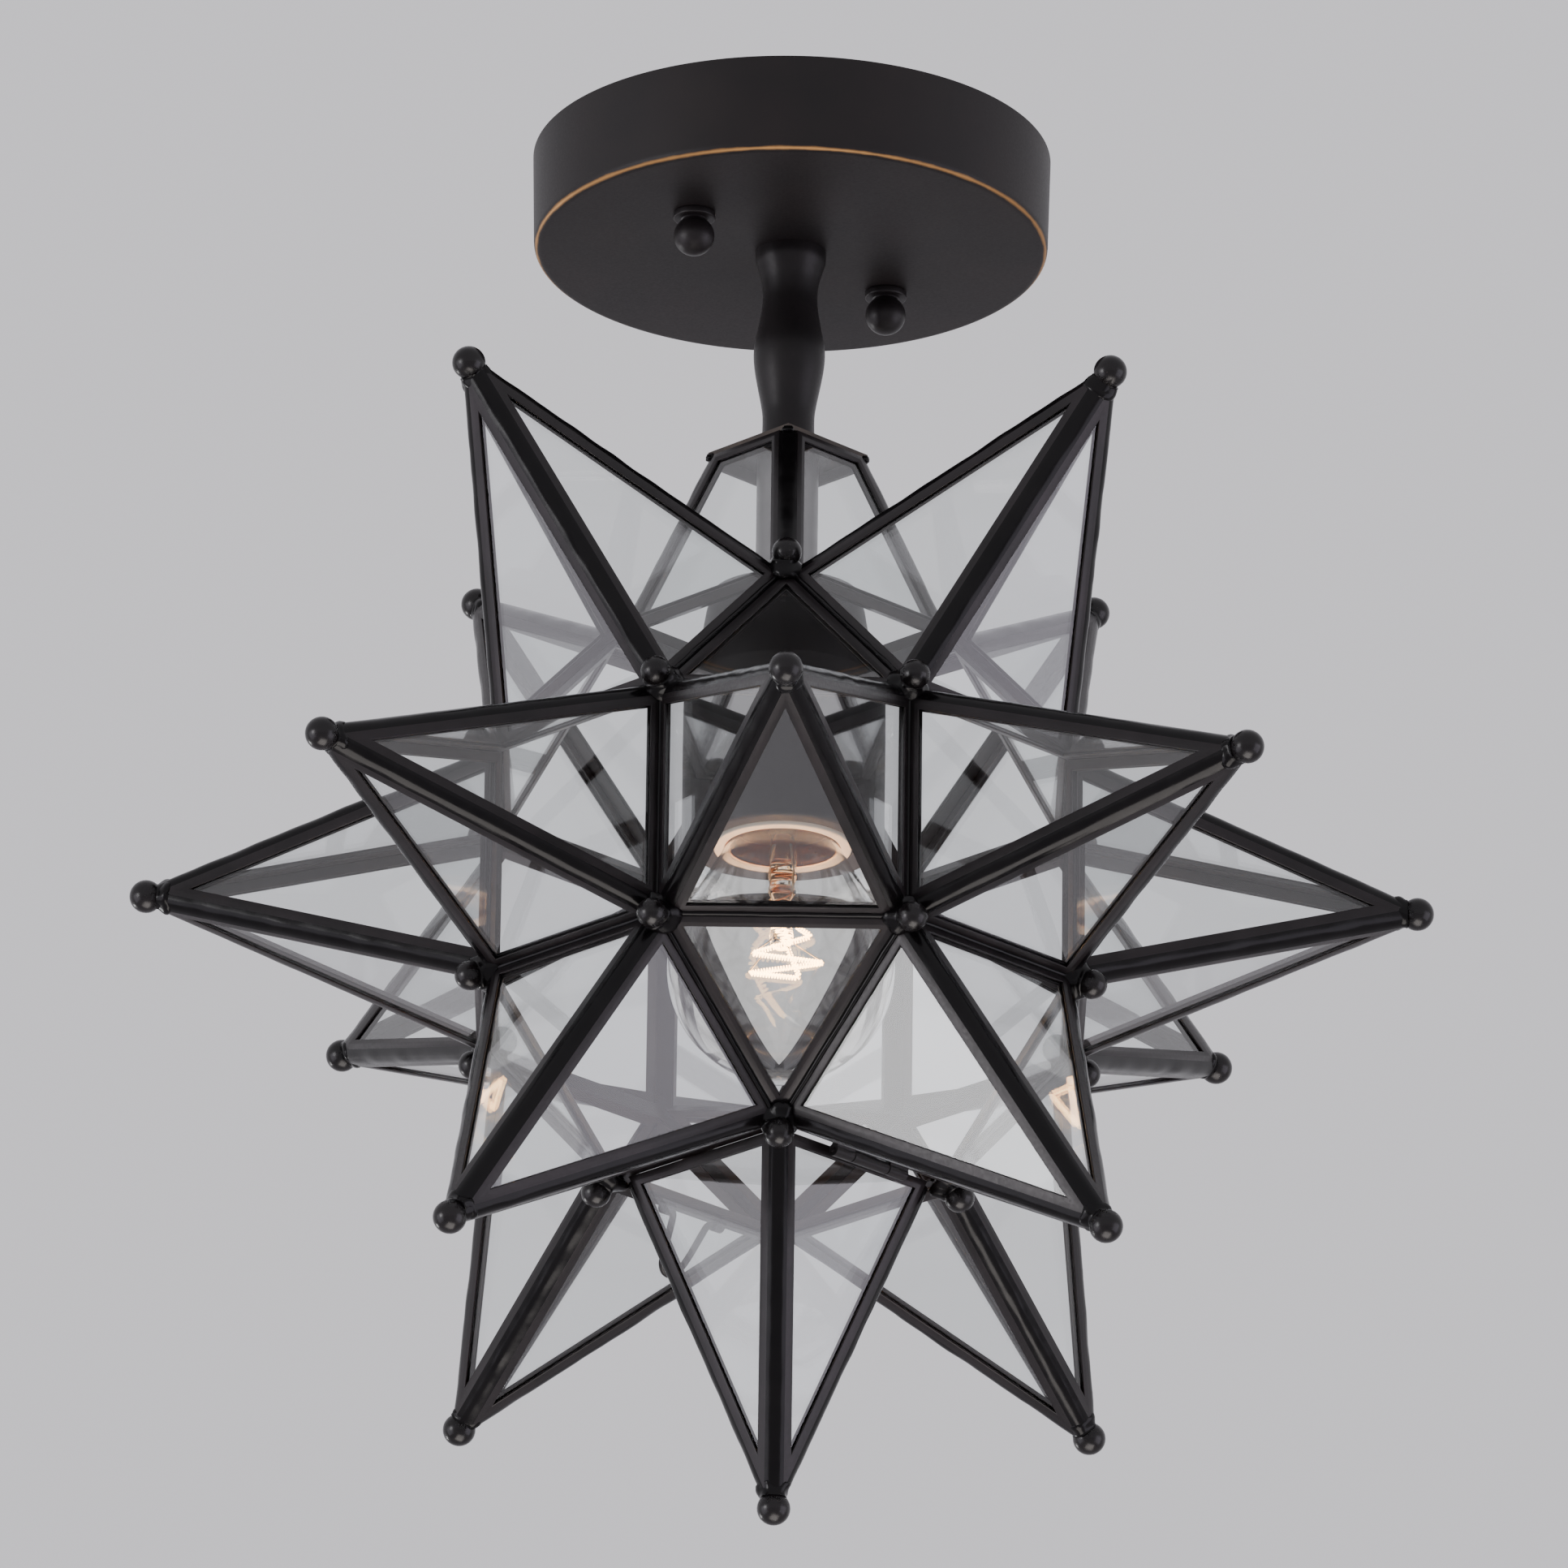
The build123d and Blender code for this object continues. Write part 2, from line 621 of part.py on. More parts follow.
nut_bore = STUD_R / cos(pi / 16)
nut_ball = arc_points((0, -6.1), 4.95, 52, -90, 5)
nut_collar = [(nut_bore, 0), (5.1, 0), (5.1, -1.7)]
nut_profile = nut_collar + nut_ball[:-1] + [(0, -11.05), (0, -6.8), (nut_bore, -6.8)]
nuts = []
for x, y in studs:
    nuts.append(faceted_turn(nut_profile, 16).moved(Location((x, y, -CANOPY_DEPTH))))
save("canopy_cap_nuts", nuts, CANOPY)


# Stem between canopy and top plate, heights again measured from the middle of the star
stem_top = -STAR_Z - CANOPY_DEPTH
stem_profile = [
    (PIPE_HOLE_R, stem_top), (8.6, stem_top), (8.55, 168.2), (7.8, 165.6), (7.0, 162.4), (6.65, 158.8),
    (6.95, 155.0), (7.75, 150.4), (8.5, 146.4), (8.72, 143.2), (8.4, 139.4), (7.6, 134.8), (6.8, 130.6),
    (6.35, 127.0), (6.45, 121.6), (7.0, PLATE_Z + PLATE_THICK), (PIPE_HOLE_R, PLATE_Z + PLATE_THICK),
]
save("stem", [turned(stem_profile)])
pipe = faceted_rod(PIPE_R, PIPE_BOTTOM, PIPE_TOP) - faceted_rod(PIPE_BORE_R, PIPE_BOTTOM - 1, PIPE_TOP + 1)
save("threaded_pipe", [pipe])
plate = Rot(0, 0, 45) * Pos(0, 0, PLATE_Z) * Box(
    PLATE_SIDE, PLATE_SIDE, PLATE_THICK, align=(Align.CENTER, Align.CENTER, Align.MIN))
save("top_plate", [plate - rod(PIPE_HOLE_R, PLATE_Z - 1, PLATE_Z + 3)])

# A washer and a hex lock nut in the canopy, the same washer under the plate, the same nut in the cup
washers = []
for z0 in (stem_top + CANOPY_WALL, PLATE_Z - WASHER_THICK):
    disc = faceted_rod(WASHER_R, z0, z0 + WASHER_THICK, sides=24)
    washers.append(disc - faceted_rod(PIPE_R, z0 - 1, z0 + 2))
save("pipe_washers", washers)
lock_nuts = []
for z0 in (stem_top + CANOPY_WALL + WASHER_THICK, CUP_TOP_Z - CUP_WALL - NUT_THICK):
    lock_nuts.append(hex_bar(14, z0, z0 + NUT_THICK) - faceted_rod(PIPE_R, z0 - 1, z0 + NUT_THICK + 1))
save("pipe_lock_nuts", lock_nuts)
spacer = rod(SPACER_R, CUP_TOP_Z, PLATE_Z - WASHER_THICK) - faceted_rod(PIPE_HOLE_R, CUP_TOP_Z - 1, PLATE_Z)
save("spacer_tube", [spacer])

# Socket cup and everything in it
cup_outer = [(CUP_MOUTH_R, CUP_MOUTH_Z), (CUP_MOUTH_R, 56), (19.7, 75), (18.2, 78.4), (15.2, CUP_TOP_Z)]
cup_inner = [
    (14.9, CUP_TOP_Z - CUP_WALL), (17.5, 77.8), (18.9, 74.8), (CUP_MOUTH_R - CUP_WALL, 56),
    (CUP_MOUTH_R - CUP_WALL, CUP_MOUTH_Z),
]
pipe_seat = [(PIPE_HOLE_R, CUP_TOP_Z), (PIPE_HOLE_R, CUP_TOP_Z - CUP_WALL)]
save("socket_cup", [turned(cup_outer + pipe_seat + cup_inner)])
bracket_top = CUP_TOP_Z - CUP_WALL - NUT_THICK
bracket_profile = [
    (-15.0, bracket_top), (15.0, bracket_top), (15.0, PORCELAIN_TOP_Z), (9.0, PORCELAIN_TOP_Z),
    (9.0, PORCELAIN_TOP_Z + 1.2), (13.8, PORCELAIN_TOP_Z + 1.2), (13.8, bracket_top - 1.2),
    (-13.8, bracket_top - 1.2), (-13.8, PORCELAIN_TOP_Z + 1.2), (-9.0, PORCELAIN_TOP_Z + 1.2),
    (-9.0, PORCELAIN_TOP_Z), (-15.0, PORCELAIN_TOP_Z),
]
bracket = prism(Plane.YZ, bracket_profile, -5.5, 5.5)
bracket = bracket - faceted_rod(PIPE_HOLE_R, bracket_top - 3, bracket_top + 1)
porcelain = turned([
    (PORCELAIN_BORE_R + 0.8, 16.0), (PORCELAIN_R - 0.5, 16.0), (PORCELAIN_R, 16.5),
    (PORCELAIN_R, PORCELAIN_TOP_Z), (2.1, PORCELAIN_TOP_Z), (2.1, 45.6),
    (PORCELAIN_BORE_R, 45.6), (PORCELAIN_BORE_R, 16.8),
])
socket_screws = []
top = PORCELAIN_TOP_Z
for sign in (-1, 1):
    x = 13.0 * sign
    terminal = faceted_rod(3.2, top, top + 2.2, x, 0, 8) + faceted_rod(1.5, top - 5, top, x, 0, 8)
    socket_screws.append(terminal)
    porcelain = porcelain - faceted_rod(1.5, top - 5, top + 1, x, 0, 8)
    y = 11.2 * sign
    foot = top + 1.2
    fixing = faceted_rod(2.4, foot, foot + 1.6, 0, y, 8) + faceted_rod(1.2, top - 5, foot, 0, y, 8)
    socket_screws.append(fixing)
    bracket = bracket - faceted_rod(1.2, top - 1, top + 2, 0, y, 8)
    porcelain = porcelain - faceted_rod(1.2, top - 5, top + 1, 0, y, 8)
save("socket_bracket", [bracket])
save("socket_screws", socket_screws)
save("socket_porcelain", [porcelain])
shell = turned([
    (SHELL_R - SHELL_WALL, 17.2), (SHELL_R, 17.2), (SHELL_R, 42.2), (8.0, 42.2), (8.0, 41.7),
    (SHELL_R - SHELL_WALL, 41.7),
])
save("socket_screw_shell", [shell])
contact_profile = [(0, 43.8), (4.4, 43.8), (4.4, 44.4), (2.1, 45.2), (2.1, 55.2), (0, 55.2)]
save("socket_centre_contact", [faceted_turn(contact_profile, 12)])

# Leads from the socket up the pipe to wire nuts in the canopy
nut_z = -STAR_Z - 11.0
leads = {}
for name, side in (("lead_black", -1), ("lead_white", 1)):
    points = [
        (9.0 * side, 0, 54.9), (8.2 * side, 0, 62.0), (1.5 * side, 0, 67.0), (1.5 * side, 0, 183.0),
        (4.0 * side, 0, 186.2), (12.0 * side, 0, 185.6), (20.5 * side, 0, nut_z),
    ]
    save(name, [wire(points, 0.8)])
bare = [
    (ground_at, ground_at - 4.2, -STAR_Z - 4.9), (ground_at + 2, ground_at - 8, -STAR_Z - 6.4),
    (ground_at - 6, ground_at - 8, -STAR_Z - 9.0), (4.0, 15.0, nut_z),
]
save("ground_wire", [wire(bare, 0.6)])
nut_shape = extrude(RegularPolygon(4.6, 8), amount=15, taper=6) - faceted_rod(1.0, -1, 8, sides=6)
wire_nuts = []
for x, y, angle in ((20.5, 0, 0), (-20.5, 0, 180), (4.0, 15.0, 105)):
    wire_nuts.append(Location((x, y, nut_z), (0, 0, angle)) * (Rot(0, 90, 0) * nut_shape))
save("wire_nuts", wire_nuts)

# Bulb: round glass, screw shell, insulator, contact, glass mount and filament
inner_r = BULB_R - BULB_WALL
neck_inner_r = BULB_NECK_R - BULB_WALL
glass_outer = arc_points((0, BULB_Z), BULB_R, -90, 30, 9)
glass_outer = glass_outer + [(14.4, 14.35), (13.1, 17.2), (BULB_NECK_R, 20.5), (BULB_NECK_R, 23.0)]
glass_inner = [(neck_inner_r, 23.0), (neck_inner_r, 20.3), (13.6, 14.1)]
glass_inner = glass_inner + arc_points((0, BULB_Z), inner_r, 30, -90, 8)
glass_outer[0] = (0, BULB_Z - BULB_R)
glass_inner[-1] = (0, BULB_Z - inner_r)
save("bulb_glass", [faceted_turn(glass_outer + glass_inner, 24)])
bulb_shell = turned([
    (BULB_SHELL_R, 20.6), (BULB_SHELL_R, 36.5), (9.4, 36.5), (9.4, 36.1),
    (BULB_SHELL_R - 0.4, 36.1), (BULB_SHELL_R - 0.4, 20.6),
])
save("bulb_screw_shell", [bulb_shell])
insulator = [(0, 36.5), (12.0, 36.5), (4.8, 41.3), (0, 41.3)]
save("bulb_insulator", [faceted_turn(insulator, 24)])
tip = [(0, 41.3), (4.6, 41.3), (4.6, 42.6), (3.4, 43.5), (0, 43.5)]
save("bulb_contact", [faceted_turn(tip, 12)])
mount = [(0, 7.0), (2.5, 7.0), (3.4, 14.5), (neck_inner_r, 22.2), (neck_inner_r, 23.0), (0, 19.0)]
save("bulb_mount", [faceted_turn(mount, 24)])
loop = [(-1.3, 0, 6.85), (-1.9, -1.5, -3.0), (-4.5, -7.9, -13.6)]
for angle in (180, 120, 60, 0):
    loop.append((9.0 * cos(radians(angle)), 9.0 * sin(radians(angle)), -14.0))
loop = loop + [(4.5, -7.9, -13.6), (1.9, -1.5, -3.0), (1.3, 0, 6.85)]
save("bulb_filament", [wire(loop, 0.45)])
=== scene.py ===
import math

import bpy
from mathutils import Matrix, Vector, noise


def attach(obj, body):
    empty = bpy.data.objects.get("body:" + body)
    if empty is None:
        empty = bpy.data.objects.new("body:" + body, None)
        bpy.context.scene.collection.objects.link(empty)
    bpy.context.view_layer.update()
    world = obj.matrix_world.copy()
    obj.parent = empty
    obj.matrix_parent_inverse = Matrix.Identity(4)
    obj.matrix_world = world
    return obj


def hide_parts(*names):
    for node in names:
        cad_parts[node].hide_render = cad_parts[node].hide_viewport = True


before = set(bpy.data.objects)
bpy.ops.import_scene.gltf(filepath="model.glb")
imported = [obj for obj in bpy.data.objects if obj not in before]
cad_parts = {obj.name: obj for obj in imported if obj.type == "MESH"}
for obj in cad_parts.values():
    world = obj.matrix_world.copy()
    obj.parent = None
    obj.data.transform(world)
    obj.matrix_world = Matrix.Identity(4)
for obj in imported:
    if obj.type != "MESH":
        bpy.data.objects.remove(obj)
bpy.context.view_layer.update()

# Sizes in millimetres, as in the part. The star's middle hangs below the ceiling plane
MM = 0.001
STAR_MIDDLE = -195.1
CORE_EDGE = 58.5
CORE_HALF = CORE_EDGE / 2
CORE_DIST = CORE_EDGE * (1 + math.sqrt(2)) / 2
BALL_RISE = 152.7 - CORE_DIST
# The cames run up past the ball's middle, so the ball sits over their cut ends
POINT_RISE = BALL_RISE + 6.8
TRIANGLE_DIST = CORE_EDGE * (3 + math.sqrt(2)) / (2 * math.sqrt(3))
TRIANGLE_SETBACK = 0.73
CORNER_REACH = CORE_EDGE * math.sqrt(5 + 2 * math.sqrt(2)) / 2
CORNER_BALL_REACH = 85.7
BALL_R = 4.0
CORNER_BALL_R = 3.6
CAME_LEAF = 2.6
CAME_THICK = 3.2
CAME_WEB = 0.6
CAME_LIP = 0.55
PANE_FACES = (-0.6, -2.6)
PANE_PLAY = 0.3
BEAD_FOOT_GAP = 2.2
BEAD_TIP_GAP = 7.6
BEAD_PLATE_GAP = 0.2
PLATE_Z = 116.4
PLATE_DROP_SCALE = 0.38
FRUSTUM_TOP_HALF = 14.2
FRUSTUM_HEIGHT = PLATE_Z - CORE_DIST
DOOR_HALF = 26.75
STOP_OUTER = 28.6
STOP_INNER = 25.4
STOP_END = 26.0
STOP_FACES = (-1.3, -0.7)
CANOPY_RIM_R = 63.4
CANOPY_R = 62.8
CANOPY_DEPTH = 24.3
CANOPY_SHEET = 1
CANOPY_HOLE_R = 5.1
STUD_SPREAD = 66.6
CAP_NUT_R = 4.95
CAP_NUT_MIDDLE = -6.1
STEM_TOP = 170.8
STEM_FOOT = PLATE_Z + 1.2
STEM_BORE_R = 5.0
CUP_R = 22.9
CUP_INNER_R = 22.1
CUP_TOP = 79.8
PORCELAIN_R = 21.9
PORCELAIN_BORE_R = 13.95
PORCELAIN_FACE = 15.2
PORCELAIN_TOP = 54.0
THREAD_PITCH = 3.629
BULB_R = 27.8
BULB_MIDDLE = -16.3
BULB_NECK_R = 12.55
BULB_WALL = 0.85
COIL_R = 0.52
COIL_WIRE_R = 0.22
COIL_PITCH = 0.7
LATCH_WIRE_R = 0.85
LATCH_UP_DOOR = 2.5
LATCH_OFF_DOOR = 1.9
LATCH_TILT = math.radians(30)
# Sizes of the room in metres
FLOOR_HALF = 40
FLOOR_Z = -7
LAMP_TARGET = (0, 0, -0.2)
# The camera: focal length and width of the photograph in pixels, width of the sensor in millimetres
FOCAL_PIXELS = 18000
PHOTO_PIXELS = 1932
SENSOR_WIDTH = 36


# Colours and nodes
def paint(code):
    """A hex sRGB colour as the linear values that the sockets take."""
    values = []
    for i in (1, 3, 5):
        c = int(code[i:i + 2], 16) / 255
        values.append(c / 12.92 if c <= 0.04045 else ((c + 0.055) / 1.055) ** 2.4)
    return (*values, 1.0)


def put(tree, kind, inputs=None, **settings):
    """Adds a node, sets its properties, and links or sets its inputs."""
    node = tree.nodes.new(kind)
    for key, value in settings.items():
        setattr(node, key, value)
    for key, value in (inputs or {}).items():
        if isinstance(value, bpy.types.NodeSocket):
            tree.links.new(value, node.inputs[key])
        else:
            node.inputs[key].default_value = value
    return node


def new_finish(name):
    """An empty material with its shader and the position on the object in metres."""
    finish = bpy.data.materials.new(name)
    finish.use_nodes = True
    tree = finish.node_tree
    tree.nodes.clear()
    shader = put(tree, "ShaderNodeBsdfPrincipled")
    put(tree, "ShaderNodeOutputMaterial", {"Surface": shader.outputs["BSDF"]})
    place = put(tree, "ShaderNodeTexCoord").outputs["Object"]
    return finish, tree, shader, place


def roughen(tree, shader, grain, gloss_limits, strength, bump_mm):
    """Uneven gloss and a fine relief that follow the same grain."""
    gloss = put(tree, "ShaderNodeMapRange", {"Value": grain.outputs["Fac"], **gloss_limits})
    tree.links.new(gloss.outputs["Result"], shader.inputs["Roughness"])
    bump = put(tree, "ShaderNodeBump", {
        "Height": grain.outputs["Fac"], "Strength": strength, "Distance": bump_mm * MM})
    tree.links.new(bump.outputs["Normal"], shader.inputs["Normal"])


def patina(name, dark, light, rough, metal, grain_mm, bump_mm, spread=0.08, shine=0.5):
    """Chemically blackened metal: cloudy colour, slightly uneven gloss and a fine cast grain."""
    finish, tree, shader, place = new_finish(name)
    shader.inputs["Metallic"].default_value = metal
    shader.inputs["Specular IOR Level"].default_value = shine
    clouds = put(tree, "ShaderNodeTexNoise", {
        "Vector": place, "Scale": 1000 / 14, "Detail": 4, "Roughness": 0.6})
    tone = put(tree, "ShaderNodeValToRGB", {"Fac": clouds.outputs["Fac"]})
    for stop, position, code in zip(tone.color_ramp.elements, (0.35, 0.72), (dark, light)):
        stop.position = position
        stop.color = paint(code)
    tree.links.new(tone.outputs["Color"], shader.inputs["Base Color"])
    grain = put(tree, "ShaderNodeTexNoise", {"Vector": place, "Scale": 1000 / grain_mm, "Detail": 3})
    limits = {"From Min": 0.3, "From Max": 0.7, "To Min": rough - spread, "To Max": rough + spread}
    roughen(tree, shader, grain, limits, 0.5, bump_mm)
    return finish


def clear_sheet(name, tint, ior):
    """Clear glass, with a faint waviness from the way it was made."""
    finish, tree, shader, place = new_finish(name)
    shader.inputs["Base Color"].default_value = paint(tint)
    shader.inputs["Roughness"].default_value = 0.0
    shader.inputs["IOR"].default_value = ior
    shader.inputs["Transmission Weight"].default_value = 1.0
    wave = put(tree, "ShaderNodeTexNoise", {"Vector": place, "Scale": 1000 / 45, "Detail": 1})
    bump = put(tree, "ShaderNodeBump", {
        "Height": wave.outputs["Fac"], "Strength": 0.25, "Distance": 0.25 * MM})
    tree.links.new(bump.outputs["Normal"], shader.inputs["Normal"])
    return finish


def plain_finish(name, colour, rough, metal=0.0, coat=0.0, grain_mm=0.8):
    """One coloured surface with a fine variation of tone and gloss, for small parts."""
    finish, tree, shader, place = new_finish(name)
    shader.inputs["Metallic"].default_value = metal
    shader.inputs["Coat Weight"].default_value = coat
    grain = put(tree, "ShaderNodeTexNoise", {"Vector": place, "Scale": 1000 / grain_mm, "Detail": 3})
    tone = put(tree, "ShaderNodeMixRGB", {
        "Fac": grain.outputs["Fac"], "Color1": paint(colour), "Color2": paint("#d8d8d8"),
    }, blend_type="MULTIPLY")
    tree.links.new(tone.outputs["Color"], shader.inputs["Base Color"])
    roughen(tree, shader, grain, {"To Min": max(rough - 0.06, 0.02), "To Max": rough + 0.06}, 0.4, 0.02)
    return finish


def rubbed_bronze(name):
    """Oil rubbed bronze on spun steel: charcoal brown, rubbed back to gold along the lower edge."""
    finish, tree, shader, place = new_finish(name)
    shader.inputs["Specular IOR Level"].default_value = 0.23
    clouds = put(tree, "ShaderNodeTexNoise", {"Vector": place, "Scale": 1000 / 22, "Detail": 3})
    tone = put(tree, "ShaderNodeValToRGB", {"Fac": clouds.outputs["Fac"]})
    for stop, position, code in zip(tone.color_ramp.elements, (0.3, 0.75), ("#151213", "#1c1717")):
        stop.position = position
        stop.color = paint(code)
    # How far a spot is from the middle of the rounded lower edge, down and out
    edge_in = 0.64
    height = put(tree, "ShaderNodeSeparateXYZ", {"Vector": place}).outputs["Z"]
    flat = put(tree, "ShaderNodeVectorMath", {0: place, 1: (1, 1, 0)}, operation="MULTIPLY")
    reach = put(tree, "ShaderNodeVectorMath", {0: flat.outputs[0]}, operation="LENGTH")
    down = put(tree, "ShaderNodeMath", {0: height, 1: (CANOPY_DEPTH - edge_in) * MM}, operation="ADD")
    down_size = put(tree, "ShaderNodeMath", {0: down.outputs[0]}, operation="ABSOLUTE")
    out = put(tree, "ShaderNodeMath", {
        0: reach.outputs["Value"], 1: (CANOPY_R - edge_in) * MM}, operation="SUBTRACT")
    out_size = put(tree, "ShaderNodeMath", {0: out.outputs[0]}, operation="ABSOLUTE")
    away = put(tree, "ShaderNodeMath", {
        0: down_size.outputs[0], 1: out_size.outputs[0]}, operation="MAXIMUM")
    # The rubbed line is about 0.6 mm wide and uneven
    wear = put(tree, "ShaderNodeTexNoise", {"Vector": place, "Scale": 1000 / 7, "Detail": 4})
    shaky = put(tree, "ShaderNodeMath", {0: wear.outputs["Fac"], 1: 0.4 * MM}, operation="MULTIPLY")
    edge = put(tree, "ShaderNodeMath", {0: away.outputs[0], 1: shaky.outputs[0]}, operation="ADD")
    mask = put(tree, "ShaderNodeMapRange", {
        "Value": edge.outputs[0], "From Min": 0.36 * MM, "From Max": 0.66 * MM,
        "To Min": 0.92, "To Max": 0.0})
    blend = put(tree, "ShaderNodeMixRGB", {
        "Fac": mask.outputs["Result"], "Color1": tone.outputs["Color"], "Color2": paint("#a97f50")})
    tree.links.new(blend.outputs["Color"], shader.inputs["Base Color"])
    tree.links.new(mask.outputs["Result"], shader.inputs["Metallic"])
    grain = put(tree, "ShaderNodeTexNoise", {"Vector": place, "Scale": 1000 / 0.6, "Detail": 2})
    roughen(tree, shader, grain, {"To Min": 0.42, "To Max": 0.56}, 0.35, 0.02)
    return finish


def glowing_wire(name, colour, strength):
    """Drawn tungsten at white heat."""
    finish, tree, shader, place = new_finish(name)
    shader.inputs["Base Color"].default_value = paint("#5a4a3c")
    shader.inputs["Roughness"].default_value = 0.5
    heat = put(tree, "ShaderNodeTexNoise", {"Vector": place, "Scale": 1000 / 6, "Detail": 1})
    tone = put(tree, "ShaderNodeMixRGB", {
        "Fac": heat.outputs["Fac"], "Color1": paint(colour), "Color2": paint("#ffd9a0")})
    tree.links.new(tone.outputs["Color"], shader.inputs["Emission Color"])
    shader.inputs["Emission Strength"].default_value = strength
    return finish


# The grain of the metals is drawn at 0.6 to 3 mm, coarser than the real 0.1 mm, so that it shows
FINISH = {
    # Zinc came, blackened: satin, with a brown violet cast where the light catches it
    "came": patina("blackened_zinc_came", "#141112", "#201b1d", 0.34, 0.28, 0.8, 0.005, 0.05, 0.36),
    # Tin lead solder, blackened: darker and glossier than the came, with runs
    "solder": patina("blackened_solder", "#060506", "#0d0b0c", 0.2, 0.0, 3.0, 0.035, 0.05, 0.17),
    # Cast tin ball, blackened: nearly black and smooth, with one small soft highlight
    "ball": patina("blackened_ball", "#0d0b0c", "#161314", 0.27, 0.15, 1.2, 0.006, 0.06, 0.34),
    # Bent steel wire, blackened: dark and even, with a thin line of light along the wire
    "hinge": patina("blackened_steel_wire", "#121011", "#1c181a", 0.36, 0.25, 0.8, 0.004, 0.05, 0.34),
    # Spun steel, oil rubbed: matte charcoal brown, with a thin gold line on its lower edge
    "canopy": rubbed_bronze("oil_rubbed_bronze"),
    # Turned steel, oil rubbed: the same charcoal brown, a little glossier on its curves
    "bronze": patina("oil_rubbed_bronze_turned", "#141112", "#1d191a", 0.42, 0.15, 0.7, 0.006, 0.05, 0.28),
    # Spun cup, dark bronze: smooth grey black without a sharp highlight
    "cup": patina("dark_bronze_cup", "#181617", "#201e1f", 0.5, 0.1, 2.0, 0.001, 0.03, 0.32),
    # Plate, aged bronze: brown and mottled
    "plate": patina("aged_bronze_plate", "#231e1b", "#43382f", 0.45, 0.3, 1.5, 0.05),
    # Pewter coloured tube: mid grey with a long soft highlight
    "spacer": patina("brushed_pewter_tube", "#4a4848", "#5c5959", 0.4, 0.6, 1.0, 0.03),
    # Zinc plate on steel: pale, faintly warm and half matte
    "zinc": plain_finish("zinc_plated_steel", "#b9b8b0", 0.34, metal=1.0),
    # Green dye over a steel screw: clear colour with a metal gleam
    "green": plain_finish("green_dyed_screw", "#2f7a3c", 0.4, metal=0.6),
    # Bare copper wire: warm and bright
    "copper": plain_finish("bare_copper", "#b87a55", 0.3, metal=1.0),
    # Soft plastic on the two leads: even colour, half matte
    "black_lead": plain_finish("black_pvc_insulation", "#191919", 0.45),
    "white_lead": plain_finish("white_pvc_insulation", "#dedcd5", 0.45),
    # Moulded nylon of the wire nuts: even orange, slightly rough
    "nut": plain_finish("orange_nylon", "#c8622a", 0.42, grain_mm=0.5),
    # Glazed porcelain: cream under a clear glossy glaze
    "porcelain": plain_finish("glazed_porcelain", "#e6dccb", 0.16, coat=0.5, grain_mm=5.0),
    # Copper coloured sheet of the socket's shell: warm and rather bright
    "brass": plain_finish("formed_copper_shell", "#cf8660", 0.3, metal=1.0, grain_mm=2.0),
    # The lamp's own shell, coloured copper as a painted reflection of the copper socket shell round it
    "shell": plain_finish("shell_with_painted_copper_reflection", "#cf8c68", 0.3, metal=1.0, grain_mm=2.0),
    # Drop of lead solder on the lamp's contact: dull grey
    "contact": plain_finish("lead_solder_dot", "#a9a9a7", 0.42, metal=1.0),
    # Black glass at the end of the lamp's base: deep and glossy
    "black_glass": plain_finish("black_base_glass", "#121214", 0.12, coat=0.3),
    # Drawn sheet glass: clear, with strong reflections and a slight wave; IOR raised to match them
    "pane": clear_sheet("drawn_clear_glass", "#fafcfc", 1.6),
    # Blown glass: clear and thin, seen only at its rim and in its highlights
    "bulb": clear_sheet("blown_clear_glass", "#fdfcf9", 1.45),
    # Nickel wire: pale warm metal
    "nickel": plain_finish("nickel_lead_wire", "#c9b9a6", 0.3, metal=1.0),
    # Tungsten coil at white heat: orange glow, uneven along its length
    "filament": glowing_wire("hot_tungsten", "#ffb469", 60.0),
}


# Meshes are made in millimetres with the star's middle as the origin, then set down in the frame
def piece(name, verts, faces, finish, body="star", stands_for=(), middle=True, sharp=35):
    """Makes one visible piece, puts it in the frame and hides the CAD nodes that it stands for."""
    drop = STAR_MIDDLE if middle else 0.0
    mesh = bpy.data.meshes.new(name)
    mesh.from_pydata([(v[0] * MM, v[1] * MM, (v[2] + drop) * MM) for v in verts], [], faces)
    mesh.validate()
    mesh.shade_smooth()
    mesh.set_sharp_from_angle(angle=math.radians(sharp))
    mesh.materials.append(FINISH[finish])
    thing = bpy.data.objects.new(name, mesh)
    bpy.context.collection.objects.link(thing)
    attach(thing, body)
    if stands_for:
        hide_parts(*stands_for)


def shifted(verts, faces, where):
    """Moves a mesh by a matrix."""
    return [where @ Vector(v) for v in verts], faces


def joined(parts):
    """Puts several meshes into one list of vertices and faces."""
    verts, faces = [], []
    for more_verts, more_faces in parts:
        start = len(verts)
        verts.extend(more_verts)
        faces.extend([tuple(i + start for i in face) for face in more_faces])
    return verts, faces


def rounded(points, radius, steps=4, closed=False):
    """Rounds the corners of a line of 2-D points."""
    result = []
    count = len(points)
    for i, here in enumerate(points):
        if not closed and i in (0, count - 1):
            result.append(tuple(here))
            continue
        a = Vector(points[i - 1])
        b = Vector(here)
        c = Vector(points[(i + 1) % count])
        to_a = (a - b).normalized()
        to_c = (c - b).normalized()
        half = to_a.angle(to_c) / 2
        if half > math.radians(88):
            result.append(tuple(here))
            continue
        reach = min(radius / math.tan(half), (a - b).length * 0.45, (c - b).length * 0.45)
        start = b + to_a * reach
        end = b + to_c * reach
        for k in range(steps + 1):
            t = k / steps
            spot = start * (1 - t) ** 2 + b * 2 * t * (1 - t) + end * t ** 2
            result.append(tuple(spot))
    return result


